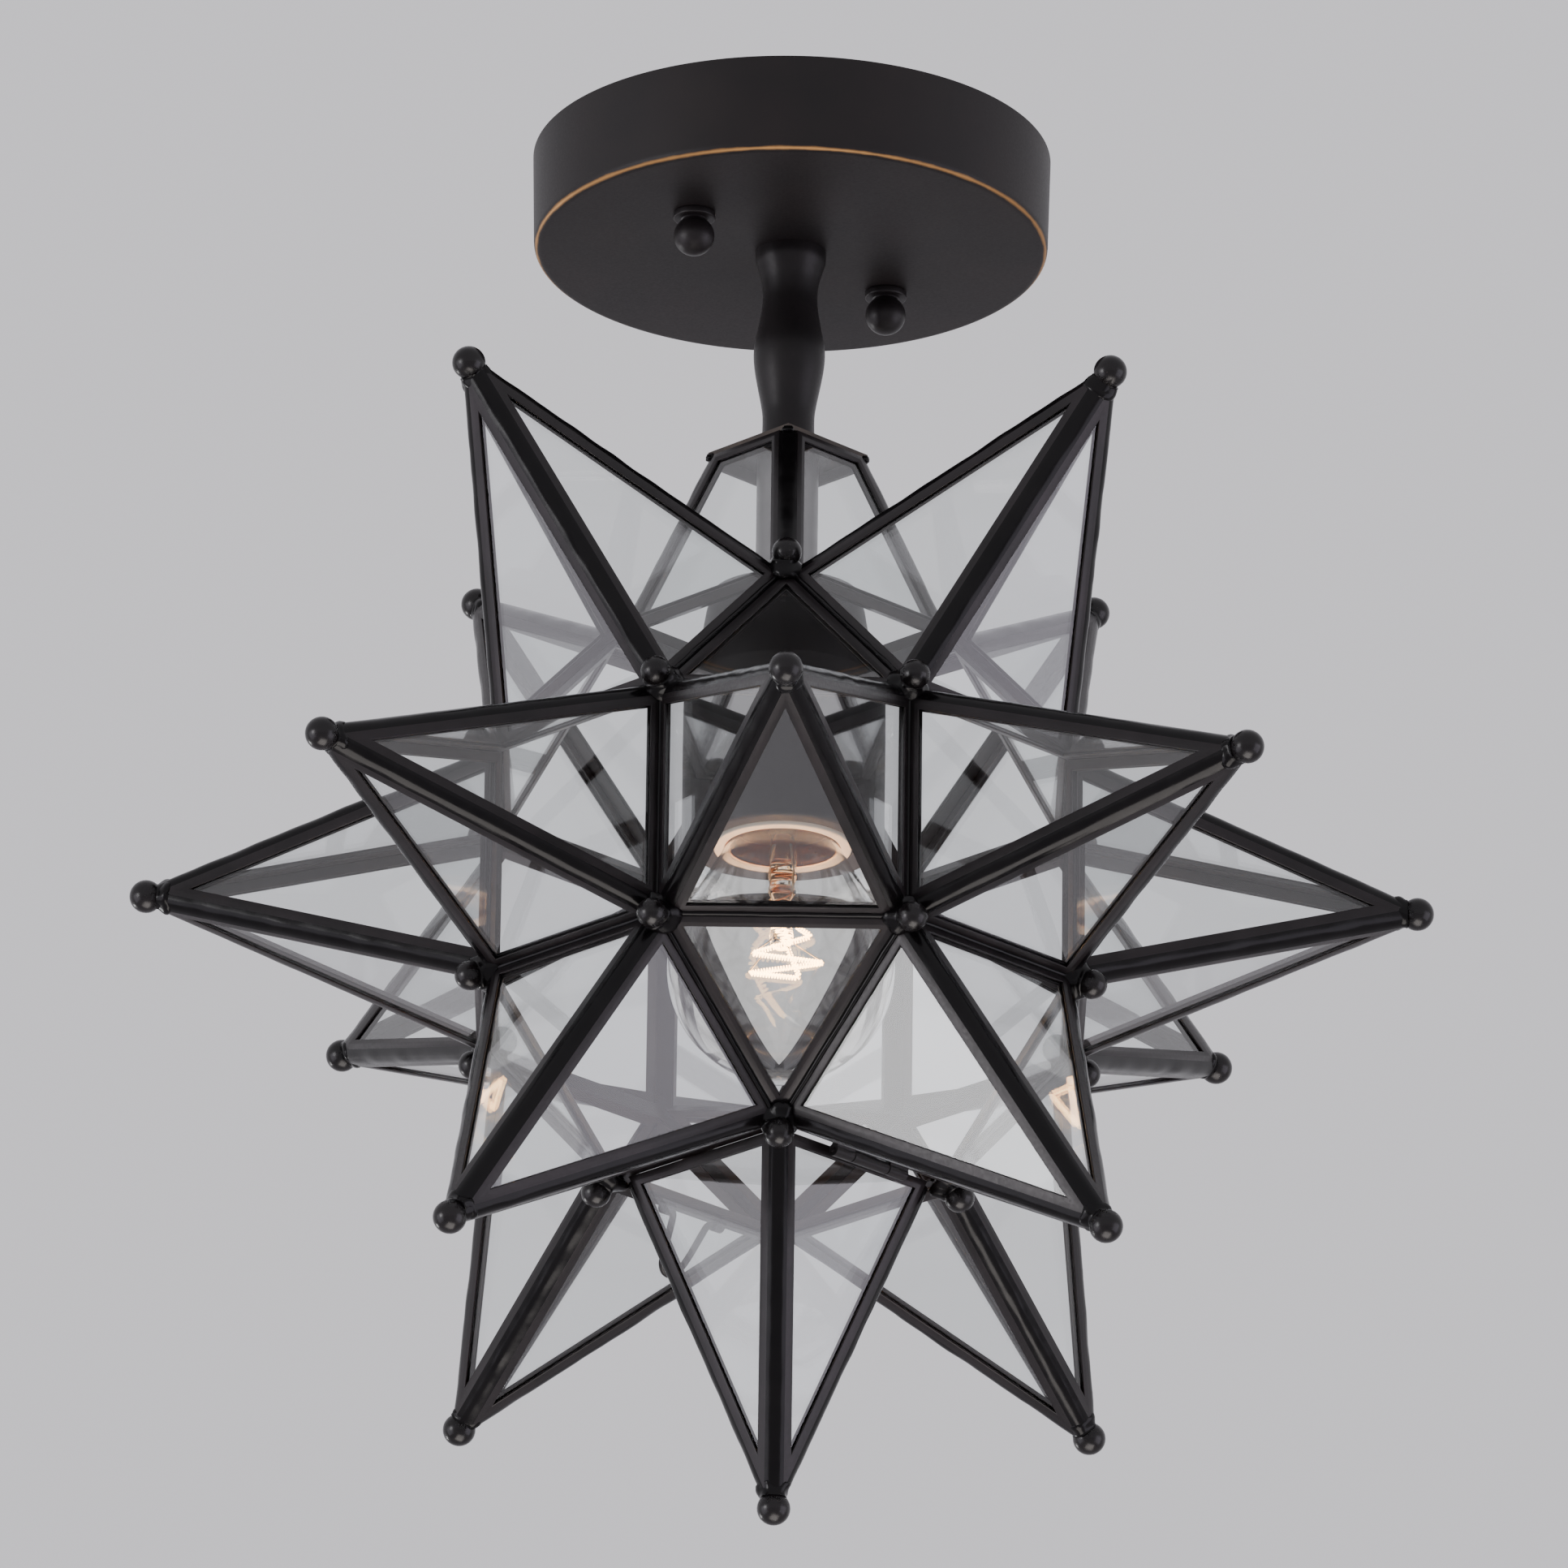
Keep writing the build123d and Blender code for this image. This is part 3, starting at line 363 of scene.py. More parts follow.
def lathe(profile, steps, closed=True):
    """Turns a profile of (radius, height) points about the z axis."""
    verts, rows, faces = [], [], []
    for r, z in profile:
        if r < 1e-6:
            rows.append([len(verts)] * steps)
            verts.append((0.0, 0.0, z))
            continue
        rows.append(list(range(len(verts), len(verts) + steps)))
        for k in range(steps):
            a = 2 * math.pi * k / steps
            verts.append((r * math.cos(a), r * math.sin(a), z))
    pairs = list(zip(rows, rows[1:]))
    if closed:
        pairs.append((rows[-1], rows[0]))
    for low, high in pairs:
        for k in range(steps):
            j = (k + 1) % steps
            face = []
            for i in (low[k], low[j], high[j], high[k]):
                if i not in face:
                    face.append(i)
            if len(face) > 2:
                faces.append(tuple(face))
    return verts, faces


def tube(path, radius, sides):
    """Round bar along a path of 3-D points, without twist. The radius may be one value per point."""
    points = [Vector(p) for p in path]
    count = len(points)
    verts, faces = [], []
    normal = None
    for i, p in enumerate(points):
        ahead = (points[min(i + 1, count - 1)] - points[max(i - 1, 0)]).normalized()
        if normal is None:
            helper = Vector((0, 0, 1)) if abs(ahead.z) < 0.9 else Vector((1, 0, 0))
            normal = ahead.cross(helper).normalized()
        normal = (normal - ahead * normal.dot(ahead)).normalized()
        side = ahead.cross(normal)
        r = radius[i] if isinstance(radius, (list, tuple)) else radius
        for k in range(sides):
            a = 2 * math.pi * k / sides
            verts.append(p + (normal * math.cos(a) + side * math.sin(a)) * r)
    for i in range(count - 1):
        for k in range(sides):
            j = (k + 1) % sides
            faces.append((i * sides + k, i * sides + j, (i + 1) * sides + j, (i + 1) * sides + k))
    faces.append(tuple(reversed(range(sides))))
    faces.append(tuple((count - 1) * sides + k for k in range(sides)))
    return verts, faces


def curved(points, bend, steps=6):
    """Rounds the corners of a path of 3-D points."""
    result = [Vector(points[0])]
    for before, here, after in zip(points, points[1:], points[2:]):
        a, b, c = Vector(before), Vector(here), Vector(after)
        reach = min(bend, (a - b).length * 0.48, (c - b).length * 0.48)
        start = b + (a - b).normalized() * reach
        end = b + (c - b).normalized() * reach
        for k in range(steps + 1):
            t = k / steps
            result.append(start * (1 - t) ** 2 + b * 2 * t * (1 - t) + end * t ** 2)
    result.append(Vector(points[-1]))
    return result


def frame_matrix(origin, x_dir, z_dir):
    """Matrix of a local frame from its origin, x direction and z direction."""
    z = Vector(z_dir).normalized()
    x = Vector(x_dir)
    x = (x - z * x.dot(z)).normalized()
    y = z.cross(x)
    m = Matrix((x, y, z)).transposed().to_4x4()
    m.translation = Vector(origin)
    return m


def square_frame(azimuth, elevation):
    """Frame of a square of the core, z outward."""
    a = math.radians(azimuth)
    e = math.radians(elevation)
    outward = Vector((math.cos(a) * math.cos(e), math.sin(a) * math.cos(e), math.sin(e)))
    return frame_matrix(outward * CORE_DIST, (-math.sin(a), math.cos(a), 0), outward)


TOP_FRAME = frame_matrix((0, 0, CORE_DIST), (1, 1, 0), (0, 0, 1))
DOOR_FRAME = frame_matrix((0, 0, -CORE_DIST), (1, 1, 0), (0, 0, -1))
QUARTERS = [Matrix.Rotation(math.pi / 2 * k, 4, "Z") for k in range(4)]

# Came channel section: distance in from the back of the channel, and depth below its outer face
CHANNEL = rounded([
    (0.0, 0.0), (1.5, 0.16), (CAME_LEAF, 0.0), (CAME_LEAF, -CAME_LIP),
    (CAME_WEB, -CAME_LIP), (CAME_WEB, CAME_LIP - CAME_THICK), (CAME_LEAF, CAME_LIP - CAME_THICK),
    (CAME_LEAF, -CAME_THICK), (0.0, -CAME_THICK),
], 0.26, 3, closed=True)


def came_loop(corners, where):
    """Mitred channel round a flat pane. Corners run anticlockwise seen from outside."""
    verts, faces = [], []
    count = len(corners)
    for i, here in enumerate(corners):
        b = Vector(here)
        to_a = (Vector(corners[i - 1]) - b).normalized()
        to_c = (Vector(corners[(i + 1) % count]) - b).normalized()
        half = to_a.angle(to_c) / 2
        inward = (to_a + to_c).normalized() / math.sin(half)
        for s, d in CHANNEL:
            spot = b + inward * s
            verts.append(where @ Vector((spot.x, spot.y, d)))
    size = len(CHANNEL)
    for i in range(count):
        j = (i + 1) % count
        for k in range(size):
            n = (k + 1) % size
            faces.append((i * size + k, j * size + k, j * size + n, i * size + n))
    return verts, faces


class Pyramid:
    """Sizes of a four sided point, z outward from its base square."""

    def __init__(self, half, rise, top=None):
        self.half, self.rise, self.top = half, rise, top
        self.slant = math.hypot(half, rise)
        n_a = Vector((rise, 0, half)) / self.slant
        n_b = Vector((0, rise, half)) / self.slant
        self.outward = (n_a + n_b).normalized()
        self.across = (n_a - n_b).normalized()
        # Half the angle between two faces, and how far it sets the cames back from the ridge
        self.beta = (math.pi - n_a.angle(n_b)) / 2
        self.setback = CAME_THICK / math.tan(self.beta)
        self.base_angle = math.atan2(self.slant, half)
        self.reach = half - self.setback / math.sin(self.base_angle)
        self.ridge = Vector((-half, -half, rise)).normalized()
        self.face = frame_matrix((half, 0, 0), (0, 1, 0), n_a)

    def outline(self):
        """Back lines of the came round the pane of face +X."""
        if self.top is None:
            peak = self.slant - self.setback / math.cos(self.base_angle)
            return [(-self.reach, 0), (self.reach, 0), (0, peak)]
        level = self.slant * self.top / self.rise
        head = self.half * (1 - self.top / self.rise) - (self.half - self.reach)
        return [(-self.reach, 0), (self.reach, 0), (head, level), (-head, level)]


def smooth_line(points, steps):
    """Catmull-Rom line through 2-D points."""
    result = []
    for i in range(len(points) - 1):
        p0 = Vector(points[max(i - 1, 0)])
        p1 = Vector(points[i])
        p2 = Vector(points[i + 1])
        p3 = Vector(points[min(i + 2, len(points) - 1)])
        for k in range(steps):
            t = k / steps
            result.append(0.5 * (2 * p1 + (p2 - p0) * t + (2 * p0 - 5 * p1 + 4 * p2 - p3) * t ** 2
                                 + (3 * p1 - p0 - 3 * p2 + p3) * t ** 3))
    result.append(Vector(points[-1]))
    return result


def ridge_bead(p, seed, end_gap):
    """Solder run in the groove between two cames: low, rounded and a little uneven."""
    top_scale = 1.0 if p.top is None else p.top / p.rise
    length = math.sqrt(2 * p.half ** 2 + p.rise ** 2) * top_scale - end_gap
    corner = Vector((p.half, p.half, 0))
    back = p.setback
    edge_x = back * math.sin(p.beta)
    edge_y = -back * math.cos(p.beta)
    steps = 44
    verts, faces = [], []
    arc = 9
    for i in range(steps + 1):
        along = BEAD_FOOT_GAP + (length - BEAD_FOOT_GAP) * i / steps
        swell = 0.8 + 0.22 * noise.noise(Vector((seed * 7.3, along * 0.14, 0.0)))
        swell += 0.05 * noise.noise(Vector((seed * 3.1, along * 0.5, 5.0)))
        lean = 0.25 * noise.noise(Vector((seed * 5.7, along * 0.1, 9.0)))
        ring = []
        for k in range(arc):
            t = -1 + 2 * k / (arc - 1)
            y = edge_y - 0.1 + swell * (1 - t * t)
            ring.append((t * (edge_x + 0.12) + lean * (1 - t * t), y))
        ring.append((0.0, edge_y - 2.0))
        for x, y in ring:
            verts.append(corner + p.ridge * along + p.across * -x + p.outward * y)
    size = arc + 1
    for i in range(steps):
        for k in range(size):
            n = (k + 1) % size
            faces.append((i * size + k, i * size + n, (i + 1) * size + n, (i + 1) * size + k))
    faces.append(tuple(range(size)))
    faces.append(tuple(reversed([steps * size + k for k in range(size)])))
    return verts, faces


def cast_ball(radius):
    """Ball cast in one piece."""
    profile = []
    for k in range(19):
        a = math.radians(90 - 180 * k / 18)
        profile.append((radius * math.cos(a) if 0 < k < 18 else 0.0, radius * math.sin(a)))
    return lathe(profile, 36, closed=False)


def ball_solder(at_tip, seed):
    """Solder round the foot of a ball: a low collar on a tip, a wide skirt on a corner of the core."""
    if at_tip:
        profile = smooth_line([(0.0, -2.0), (3.0, -2.3), (3.3, -2.9), (3.7, -3.9), (3.9, -5.0), (3.5, -6.2),
                               (0.0, -7.2)], 3)
    else:
        profile = smooth_line([(0.0, -1.0), (3.2, -1.2), (3.7, -2.2), (4.3, -3.2), (4.9, -4.4), (4.6, -6.0),
                               (0.0, -7.4)], 3)
    verts, faces = lathe(profile, 32, closed=False)
    shaped = []
    for v in verts:
        p = Vector(v)
        wobble = 1 + 0.28 * noise.noise(Vector((p.x * 0.3 + seed * 3, p.y * 0.3, p.z * 0.3)))
        shaped.append(Vector((p.x * wobble, p.y * wobble, p.z)))
    return shaped, faces


# Sizes of the sixteen points, of the cut top pyramid and of the door
point = Pyramid(CORE_HALF, POINT_RISE)
frustum = Pyramid(
    CORE_HALF, CORE_HALF * FRUSTUM_HEIGHT / (CORE_HALF - FRUSTUM_TOP_HALF), FRUSTUM_HEIGHT)
door = Pyramid(DOOR_HALF, POINT_RISE)


def pyramid_cames(p, where):
    """The four mitred came loops of one pyramid."""
    return joined([came_loop(p.outline(), where @ turn @ p.face) for turn in QUARTERS])


def pyramid_panes(p, where):
    """The four panes of one pyramid, 2 mm sheet standing in the channels."""
    inset = CAME_WEB + PANE_PLAY
    foot = p.reach - inset / math.tan(p.base_angle / 2)
    peak = p.slant - (p.setback + inset) / math.cos(p.base_angle)
    verts = []
    for depth in PANE_FACES:
        verts += [(-foot, inset, depth), (foot, inset, depth), (0.0, peak, depth)]
    faces = [(0, 1, 2), (5, 4, 3), (0, 3, 4, 1), (1, 4, 5, 2), (2, 5, 3, 0)]
    return joined([shifted(verts, faces, where @ turn @ p.face) for turn in QUARTERS])


def pyramid_beads(p, where, seed, end_gap):
    """The four ridge beads of one pyramid."""
    parts = []
    for k, turn in enumerate(QUARTERS):
        verts, faces = ridge_bead(p, seed * 4 + k, end_gap)
        parts.append(shifted(verts, faces, where @ turn))
    return joined(parts)


ROWS = [
    ("upper", 45, [-45, 45, 135, -135]),
    ("middle", 0, [-90, -45, 0, 45, 90, 135, 180, -135]),
    ("lower", -45, [-45, 45, 135, -135]),
]
beads = []
balls = []
panes = []
# The solder's noise starts from another number at each point, at the door, the corners and the plate
seed = 0
for row, elevation, azimuths in ROWS:
    for number, azimuth in enumerate(azimuths, start=1):
        where = square_frame(azimuth, elevation)
        node = row + "_point_frame_" + str(number)
        piece(row + "_point_came_" + str(number), *pyramid_cames(point, where), "came", stands_for=[node])
        beads.append(pyramid_beads(point, where, seed, BEAD_TIP_GAP))
        tip = where @ Matrix.Translation((0, 0, BALL_RISE))
        balls.append(shifted(*cast_ball(BALL_R), tip))
        beads.append(shifted(*ball_solder(True, seed), tip))
        panes.append(pyramid_panes(point, where))
        seed += 1
piece("point_panes", *joined(panes), "pane", stands_for=["point_glass"])
piece("top_came", *pyramid_cames(frustum, TOP_FRAME), "came", stands_for=["top_frame"])
beads.append(pyramid_beads(frustum, TOP_FRAME, seed, BEAD_PLATE_GAP))
# Small drops of solder at the corners of the top plate
drop_in = FRUSTUM_TOP_HALF - 1.2
drop_place = Matrix.Translation((drop_in, drop_in, FRUSTUM_HEIGHT + 1.5))
for k, turn in enumerate(QUARTERS):
    corner = TOP_FRAME @ turn @ drop_place @ Matrix.Scale(PLATE_DROP_SCALE, 4)
    beads.append(shifted(*ball_solder(True, 90 + k), corner))
# A thin stop of folded strip over the gap round the door, on the three sides without the hinge
stop = []
box_sides = [(3, 2, 1, 0), (4, 5, 6, 7), (0, 1, 5, 4), (1, 2, 6, 5), (2, 3, 7, 6), (3, 0, 4, 7)]
for x0, y0, x1, y1 in (
    (-STOP_OUTER, -STOP_OUTER, STOP_OUTER, -STOP_INNER),
    (-STOP_OUTER, -STOP_INNER, -STOP_INNER, STOP_END),
    (STOP_INNER, -STOP_INNER, STOP_OUTER, STOP_END),
):
    ends = [(x0, y0), (x1, y0), (x1, y1), (x0, y1)]
    stop.append(shifted([(x, y, z) for z in STOP_FACES for x, y in ends], box_sides, DOOR_FRAME))
piece("door_stop", *joined(stop), "came")
piece("door_came", *pyramid_cames(door, DOOR_FRAME), "came", "door", ["door_frame"])
piece("door_panes", *pyramid_panes(door, DOOR_FRAME), "pane", "door", ["door_glass"])
door_tip = DOOR_FRAME @ Matrix.Translation((0, 0, BALL_RISE))
piece("door_tip_bead", *shifted(*cast_ball(BALL_R), door_tip), "ball", "door", ["door_tip_ball"], sharp=60)
door_runs = [pyramid_beads(door, DOOR_FRAME, 40, BEAD_TIP_GAP), shifted(*ball_solder(True, 50), door_tip)]
piece("door_ridge_solder", *joined(door_runs), "solder", "door", sharp=60)

# Flat triangle panels
triangle_normals = []
loops = []
for azimuth in (-90, 0, 90, 180):
    a = math.radians(azimuth)
    for sign in (1, -1):
        outward = Vector((math.cos(a) * math.sqrt(2), math.sin(a) * math.sqrt(2), sign))
        triangle_normals.append(outward.normalized())
for outward in triangle_normals:
    level = Vector((0, 0, 1)).cross(outward).normalized() * (1 if outward.z > 0 else -1)
    where = frame_matrix(outward * TRIANGLE_DIST, level, outward)
    radius = CORE_EDGE / math.sqrt(3) - 2 * TRIANGLE_SETBACK
    corners = []
    for a in (90, 210, 330):
        corners.append((radius * math.cos(math.radians(a)), radius * math.sin(math.radians(a))))
    loops.append(came_loop(corners, where))
piece("triangle_came", *joined(loops), "came", stands_for=["triangle_frames"])

# Core corners, their balls and the solder runs in the valleys between panels
corner_dirs = []
for quarter in range(4):
    turn = Matrix.Rotation(math.pi / 2 * quarter, 3, "Z")
    for spot in ((math.sqrt(2), 0, 1 + math.sqrt(2)), (1 + math.sqrt(2), 1, 1), (1 + math.sqrt(2), -1, 1)):
        for sign in (1, -1):
            corner_dirs.append((turn @ Vector((spot[0], spot[1], spot[2] * sign))).normalized())
for k, direction in enumerate(corner_dirs):
    where = frame_matrix(direction * CORNER_BALL_REACH, (0.3, 0.2, 1), direction)
    balls.append(shifted(*cast_ball(CORNER_BALL_R), where))
    beads.append(shifted(*ball_solder(False, 60 + k), where))
piece("cast_balls", *joined(balls), "ball", stands_for=["solder_balls"], sharp=60)
piece("ridge_solder", *joined(beads), "solder", sharp=60)


def valley_bead(start, end, seed):
    """Thin run of solder on the outside of a valley between two panels."""
    middle = (start + end) / 2
    out = middle.normalized()
    along = (end - start).normalized()
    path, radii = [], []
    steps = 30
    for i in range(steps + 1):
        t = i / steps
        spot = start.lerp(end, 0.02 + 0.96 * t)
        wander = 0.12 * noise.noise(Vector((seed * 2.7, t * 9, 1.0)))
        path.append(spot + out * (0.18 + wander) + along.cross(out) * wander)
        radii.append(0.62 + 0.16 * noise.noise(Vector((seed * 1.9, t * 14, 4.0))))
    return tube(path, radii, 10)


# Every edge of the core but the four round the door's opening
runs = []
corners = [direction * CORNER_REACH for direction in corner_dirs]
opening_z = -60
for i, first in enumerate(corners):
    for second in corners[i + 1:]:
        on_door = first.z < opening_z and second.z < opening_z
        if abs((first - second).length - CORE_EDGE) < 0.01 and not on_door:
            runs.append(valley_bead(first, second, len(runs)))
piece("valley_solder", *joined(runs), "solder", sharp=60)

# Canopy, cap nuts and stem, heights measured from the ceiling plane
canopy_profile = rounded([
    (CANOPY_RIM_R, 0), (CANOPY_R, -CANOPY_DEPTH), (CANOPY_HOLE_R, -CANOPY_DEPTH),
    (CANOPY_HOLE_R, CANOPY_SHEET - CANOPY_DEPTH), (CANOPY_R - CANOPY_SHEET, CANOPY_SHEET - CANOPY_DEPTH),
    (CANOPY_RIM_R - CANOPY_SHEET, 0),
], 2.2, 8)
piece("canopy_pan", *lathe(canopy_profile, 192), "canopy", stands_for=["canopy"], middle=False, sharp=40)
nut_profile = [(0.0, CAP_NUT_MIDDLE - CAP_NUT_R)]
for k in range(1, 15):
    a = math.radians(-90 + 142 * k / 14)
    nut_profile.append((CAP_NUT_R * math.cos(a), CAP_NUT_MIDDLE + CAP_NUT_R * math.sin(a)))
nut_profile += rounded([
    (3.0, -2.0), (3.3, -1.7), (5.1, -1.7), (5.1, 0.0), (2.0, 0.0), (2.0, -6.8), (0.0, -6.8),
], 0.35, 3)
for k, sign in enumerate((-1, 1)):
    spot = sign * STUD_SPREAD / 2 * math.cos(math.radians(45))
    where = Matrix.Translation((spot, spot, -CANOPY_DEPTH))
    stands = ["canopy_cap_nuts"] if k == 0 else []
    piece("cap_nut_" + str(k + 1), *shifted(*lathe(nut_profile, 48), where), "bronze",
          stands_for=stands, middle=False)

stem_outline = [
    (STEM_TOP, 8.6), (168.2, 8.55), (165.6, 7.8), (162.4, 7.0), (158.8, 6.65), (155.0, 6.95),
    (150.4, 7.75), (146.4, 8.5), (143.2, 8.72), (139.4, 8.4), (134.8, 7.6), (130.6, 6.8),
    (127.0, 6.35), (121.6, 6.45), (STEM_FOOT, 7.0),
]
stem_side = [(v.y, v.x) for v in smooth_line(stem_outline, 5)]
stem_profile = [(STEM_BORE_R, STEM_TOP)] + stem_side + [(STEM_BORE_R, STEM_FOOT)]
piece("turned_stem", *lathe(stem_profile, 96), "bronze", stands_for=["stem"], sharp=50)

# Socket cup with its mouth rolled in over the porcelain, porcelain ring and screw shells
cup_profile = rounded([
    (16.9, 16.7), (17.1, 16.0), (CUP_R, 15.3), (CUP_R, 56.0), (19.7, 75.2), (17.6, 79.6),
    (12.0, CUP_TOP), (STEM_BORE_R, CUP_TOP), (STEM_BORE_R, 79.0), (17.0, 79.0), (18.9, 75.0),
    (CUP_INNER_R, 56.0), (CUP_INNER_R, 16.7),
], 1.3, 6)
piece("spun_cup", *lathe(cup_profile, 96), "cup", stands_for=["socket_cup"], sharp=50)
ring_profile = rounded([
    (PORCELAIN_BORE_R, PORCELAIN_FACE), (16.6, PORCELAIN_FACE), (16.8, 16.9), (PORCELAIN_R, 16.9),
    (PORCELAIN_R, PORCELAIN_TOP), (2.1, PORCELAIN_TOP), (2.1, 45.6), (PORCELAIN_BORE_R, 45.6),
], 0.6, 6, closed=True)
piece("porcelain_ring", *lathe(ring_profile, 96), "porcelain", stands_for=["socket_porcelain"], sharp=50)


def threaded_shell(r_in, r_out, z0, z1, depth):
    """Thin rolled shell with a rounded thread pressed into it."""
    steps = 72
    rows = int((z1 - z0) / 0.3)
    verts, faces = [], []
    for r in (r_in, r_out):
        for i in range(rows + 1):
            z = z0 + (z1 - z0) * i / rows
            fade = min(1.0, (z - z0) / 1.2, (z1 - z) / 1.2)
            for k in range(steps):
                a = 2 * math.pi * k / steps
                wave = math.cos(2 * math.pi * z / THREAD_PITCH - a)
                radius = r - depth / 2 + depth / 2 * wave * fade
                verts.append((radius * math.cos(a), radius * math.sin(a), z))
    shift = (rows + 1) * steps
    for i in range(rows):
        for k in range(steps):
            j = (k + 1) % steps
            faces.append((i * steps + j, i * steps + k, (i + 1) * steps + k, (i + 1) * steps + j))
            faces.append((shift + i * steps + k, shift + i * steps + j,
                          shift + (i + 1) * steps + j, shift + (i + 1) * steps + k))
    for k in range(steps):
        j = (k + 1) % steps
        faces.append((k, j, shift + j, shift + k))
        top = rows * steps
        faces.append((top + j, top + k, shift + top + k, shift + top + j))
    return verts, faces


piece("socket_thread", *threaded_shell(13.6, 13.85, 15.7, 42.0, 0.22), "brass",
      stands_for=["socket_screw_shell"], sharp=50)
piece("bulb_thread", *threaded_shell(12.75, 13.0, 20.6, 36.4, 0.2), "shell", "bulb",
      ["bulb_screw_shell"], sharp=50)

# Bulb: blown glass with its neck, the glass mount, lead wires and the looped filament
bulb_outer = []
for k in range(33):
    a = math.radians(-90 + 120 * k / 32)
    bulb_outer.append((BULB_R * math.cos(a) if k else 0.0, BULB_MIDDLE + BULB_R * math.sin(a)))
neck_line = rounded([bulb_outer[-1], (13.6, 15.8), (BULB_NECK_R, 19.0), (BULB_NECK_R, 30.0)], 7.0, 8)
bulb_outer = bulb_outer[:-1] + neck_line
bulb_inner = []
for i, (r, z) in enumerate(bulb_outer):
    before = Vector(bulb_outer[max(i - 1, 0)])
    after = Vector(bulb_outer[min(i + 1, len(bulb_outer) - 1)])
    ahead = (after - before).normalized()
    inner_r = max(r - BULB_WALL * ahead.y, 0.0) if i else 0.0
    bulb_inner.append((inner_r, z + BULB_WALL * (ahead.x if i else 1)))
piece("blown_bulb", *lathe(bulb_outer + list(reversed(bulb_inner)), 96, closed=False), "bulb", "bulb",
      ["bulb_glass"], sharp=60)
mount_profile = rounded([
    (0.0, -11.4), (1.6, -11.0), (2.6, -9.6), (2.95, -7.6), (2.6, -5.6), (1.5, -4.0), (1.5, 1.4), (2.3, 2.6),
    (3.5, 4.4), (3.0, 6.2), (3.7, 8.4), (3.1, 10.6), (3.4, 13.0), (2.8, 18.0), (6.5, 26.0), (11.6, 29.0),
    (11.6, 29.6), (6.0, 27.0), (0.0, 24.0),
], 1.0, 3)
piece("bulb_stem_press", *lathe(mount_profile, 48, closed=False), "bulb", "bulb", ["bulb_mount"], sharp=60)


def coil(path):
    """Fine wire wound along a path."""
    points = [Vector(p) for p in path]
    spans = [(b - a).length for a, b in zip(points, points[1:])]
    total = sum(spans)
    count = int(total / COIL_PITCH * 10)
    line = []
    normal = None
    for i in range(count + 1):
        s = total * i / count
        k = 0
        while k < len(spans) - 1 and s > spans[k]:
            s -= spans[k]
            k += 1
        ahead = (points[k + 1] - points[k]).normalized()
        if normal is None:
            normal = ahead.orthogonal().normalized()
        normal = (normal - ahead * normal.dot(ahead)).normalized()
        side = ahead.cross(normal)
        a = 2 * math.pi * (total * i / count) / COIL_PITCH
        base = points[k] + ahead * s
        line.append(base + (normal * math.cos(a) + side * math.sin(a)) * COIL_R)
    return tube(line, COIL_WIRE_R, 5)


# The hot coil runs from one lead out and to and fro between the supports
ring = [
    (1.2, -0.4, 1.5), (3.6, -1.0, -5.6), (7.3, -2.0, -8.4), (-7.3, -4.0, -13.8), (10.4, 0.0, -14.4),
    (-7.9, 5.0, -15.4), (4.6, 7.0, -15.8), (-1.0, 0.8, -4.0),
]
piece("tungsten_coil", *coil(curved(ring, 1.2, 4)), "filament", "bulb",
      ["bulb_filament"], sharp=80)
leads = [
    tube(curved([(1.4, -0.4, 16.0), (2.2, -0.6, 8.0), (1.9, -0.6, 3.0), (1.2, -0.4, 1.0)], 1.5), 0.3, 8),
    tube(curved([(-1.4, 0.4, 16.0), (-2.2, 0.6, 8.0), (-2.0, 0.8, 0.0), (-1.0, 0.8, -4.4)], 1.5), 0.3, 8),
]
for bend in ring[2:7]:
    away = Vector((bend[0], bend[1], 0)).normalized()
    leads.append(tube(curved([away * 2.2 + Vector((0, 0, -8.2)), away * 3.6 + Vector((0, 0, -10.0)),
                              Vector(bend)], 1.5), 0.14, 6))
# Fine copper wire bent to and fro round the glass mount
zigzag = []
for k in range(13):
    side = 1 if k % 2 else -1
    zigzag.append((side * (1.5 + 0.5 * (k % 3)), 1.6 - 1.1 * (k % 4), 13.0 - k * 0.85))
piece("support_wires", *joined(leads), "nickel", "bulb", sharp=60)
piece("mount_wires", *tube(curved(zigzag, 0.4, 3), 0.2, 6), "copper", "bulb", sharp=60)

# Latch wire: one smooth bent loop whose ends turn in the eyes on the door
door_slant = math.hypot(DOOR_HALF, POINT_RISE)
latch_y = DOOR_HALF - LATCH_UP_DOOR * DOOR_HALF / door_slant + LATCH_OFF_DOOR * POINT_RISE / door_slant
latch_z = LATCH_UP_DOOR * POINT_RISE / door_slant + LATCH_OFF_DOOR * DOOR_HALF / door_slant
loop_line = []
for x, d in (
    (-11.6, 0), (-7.2, 0), (-5.6, 9.0), (-4.9, 12.6), (-3.0, 14.4),
    (-0.4, 14.4), (1.5, 12.6), (2.6, 9.0), (4.4, 0), (8.8, 0),
):
    loop_line.append((x, -latch_y - d * math.sin(LATCH_TILT), latch_z + d * math.cos(LATCH_TILT)))
loop_wire = tube(curved(loop_line, 2.0, 6), LATCH_WIRE_R, 16)
piece("latch_loop", *shifted(*loop_wire, DOOR_FRAME), "hinge", "latch", ["latch_wire"], sharp=60)

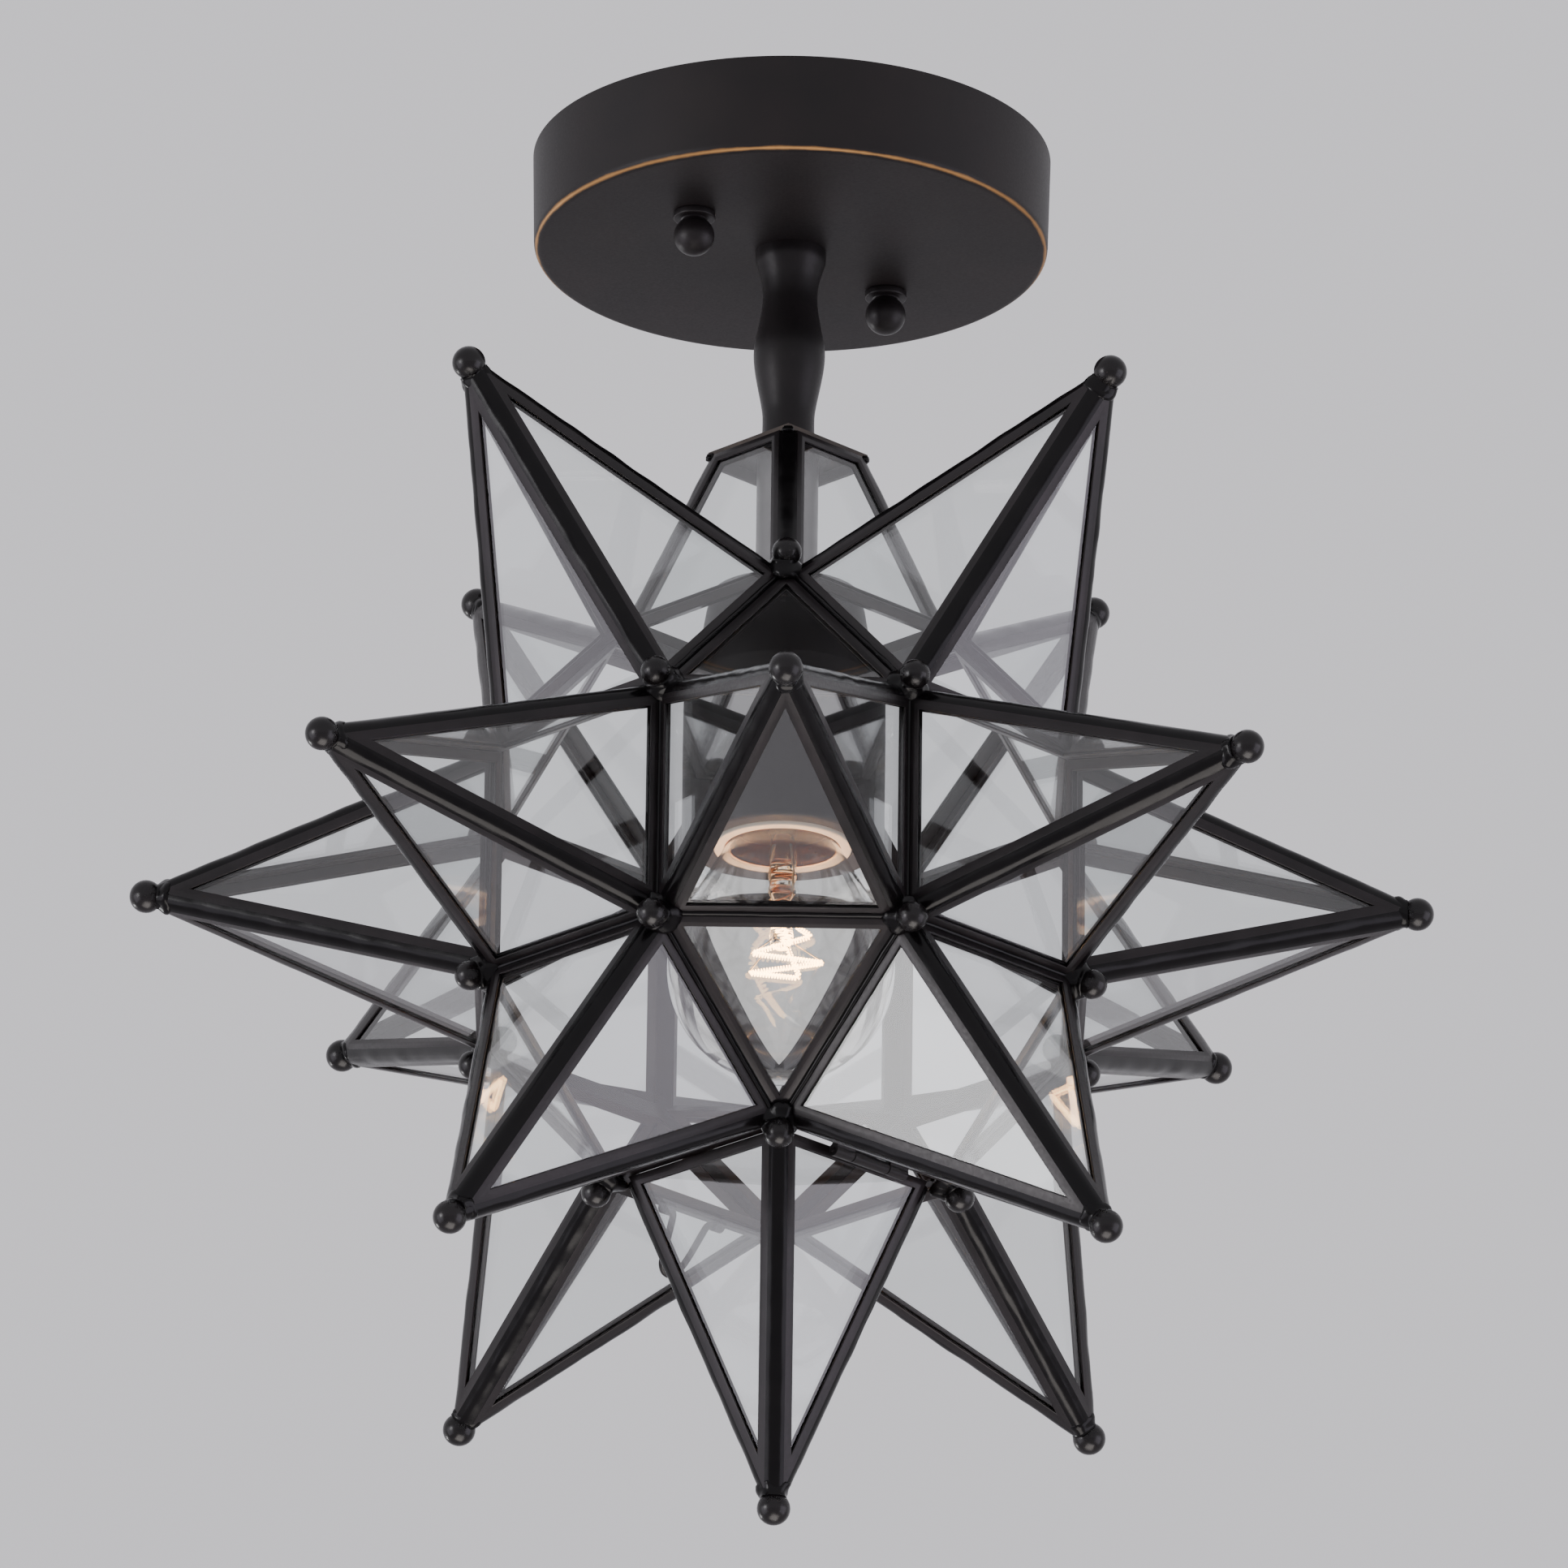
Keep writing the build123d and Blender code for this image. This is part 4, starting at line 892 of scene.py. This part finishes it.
# CAD nodes that stay get their own finishes
KEPT = {
    "top_plate": "plate", "pipe_washers": "bronze", "spacer_tube": "spacer", "threaded_pipe": "zinc",
    "pipe_lock_nuts": "zinc", "box_bar": "zinc", "stud_bar": "zinc", "crossbar_rivet": "zinc",
    "canopy_screws": "zinc", "ground_screw": "green", "ground_wire": "copper",
    "lead_black": "black_lead", "lead_white": "white_lead", "wire_nuts": "nut",
    "socket_bracket": "zinc", "socket_screws": "zinc", "socket_centre_contact": "brass",
    "solder_seams": "solder", "top_glass": "pane", "triangle_glass": "pane",
    "hinge_fixed_knuckles": "hinge", "hinge_pin": "hinge",
    "hinge_door_knuckle": "hinge", "latch_eyes": "hinge", "bulb_insulator": "black_glass",
    "bulb_contact": "contact",
}
for node, finish in KEPT.items():
    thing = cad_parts[node]
    for slot in thing.material_slots:
        slot.material = FINISH[finish]

# Glass lets the lamps' light through to what is behind it
for name in ("top_glass", "triangle_glass"):
    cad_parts[name].visible_shadow = False
for name in ("point_panes", "door_panes", "blown_bulb", "bulb_stem_press"):
    bpy.data.objects[name].visible_shadow = False

# Floor far below, pale surroundings and soft lamps
floor_mesh = bpy.data.meshes.new("studio_floor")
floor_corners = [(x * FLOOR_HALF, y * FLOOR_HALF, FLOOR_Z) for x, y in ((-1, -1), (1, -1), (1, 1), (-1, 1))]
floor_mesh.from_pydata(floor_corners, [], [(0, 1, 2, 3)])
studio_floor = bpy.data.objects.new("studio_floor", floor_mesh)
bpy.context.collection.objects.link(studio_floor)
floor_finish, _, floor_shader, _ = new_finish("matte_floor")
floor_shader.inputs["Base Color"].default_value = paint("#d9d7d9")
floor_shader.inputs["Roughness"].default_value = 0.9
floor_mesh.materials.append(floor_finish)

world = bpy.data.worlds.new("pale_room")
bpy.context.scene.world = world
world.use_nodes = True
sky = world.node_tree.nodes["Background"]
sky.inputs["Color"].default_value = paint("#cfcdd2")
sky.inputs["Strength"].default_value = 1.38

# Square soft lamps, hidden from the camera: name, place and size in metres, power in watts, colour
for name, spot, size, power, colour in (
    ("wall_left", (-2.8, -0.9, -0.95), 2.4, 37, "#ece8f4"),
    ("wall_right", (2.8, -0.9, -0.95), 2.4, 41, "#eae4f4"),
    ("window_left", (-2.2, -1.3, -0.35), 0.8, 16, "#ffffff"),
    ("window_low_left", (-1.7, 1.5, -0.95), 0.45, 8, "#ffffff"),
    ("floor_bounce", (0.2, -0.4, -3.2), 2.4, 104, "#f8f1ec"),
):
    lamp = bpy.data.lights.new(name, "AREA")
    lamp.shape = "SQUARE"
    lamp.size = size
    lamp.energy = power
    lamp.color = paint(colour)[:3]
    thing = bpy.data.objects.new(name, lamp)
    thing.location = spot
    thing.rotation_mode = "QUATERNION"
    thing.rotation_quaternion = (Vector(LAMP_TARGET) - Vector(spot)).to_track_quat("-Z", "Y")
    thing.visible_camera = False
    thing.visible_transmission = False
    bpy.context.collection.objects.link(thing)

# Warm light that the hot coil sends out
glow = bpy.data.lights.new("lamp_glow", "POINT")
glow.energy = 0.28
glow.color = paint("#ffb574")[:3]
glow.shadow_soft_size = 0.006
glow_spot = bpy.data.objects.new("lamp_glow", glow)
glow_spot.location = (0, 0, (STAR_MIDDLE - 10) * MM)
glow_spot.visible_camera = False
glow_spot.visible_transmission = False
glow_spot.visible_glossy = False
bpy.context.collection.objects.link(glow_spot)

# Camera from the photograph: 3.5 m away, looking up at 21 degrees
lens = bpy.data.cameras.new("photo_camera")
lens.sensor_width = SENSOR_WIDTH
lens.lens = FOCAL_PIXELS / PHOTO_PIXELS * SENSOR_WIDTH
lens.clip_end = 60
camera = bpy.data.objects.new("photo_camera", lens)
# Its axes, and its place from the star's middle in steps of 60 mm, as fitted to the tip balls
right = Vector((0.9999, -0.0064, 0.0127))
up = Vector((-0.0141, -0.3656, 0.9307))
back = Vector((-0.0013, -0.9308, -0.3656))
place = Vector((-0.0733, -54.6086, -20.9282)) * 60
camera.matrix_world = Matrix.LocRotScale(
    Vector((place.x * MM, place.y * MM, (place.z + STAR_MIDDLE) * MM)),
    Matrix((right, up, back)).transposed(), None)
bpy.context.collection.objects.link(camera)
bpy.context.scene.camera = camera
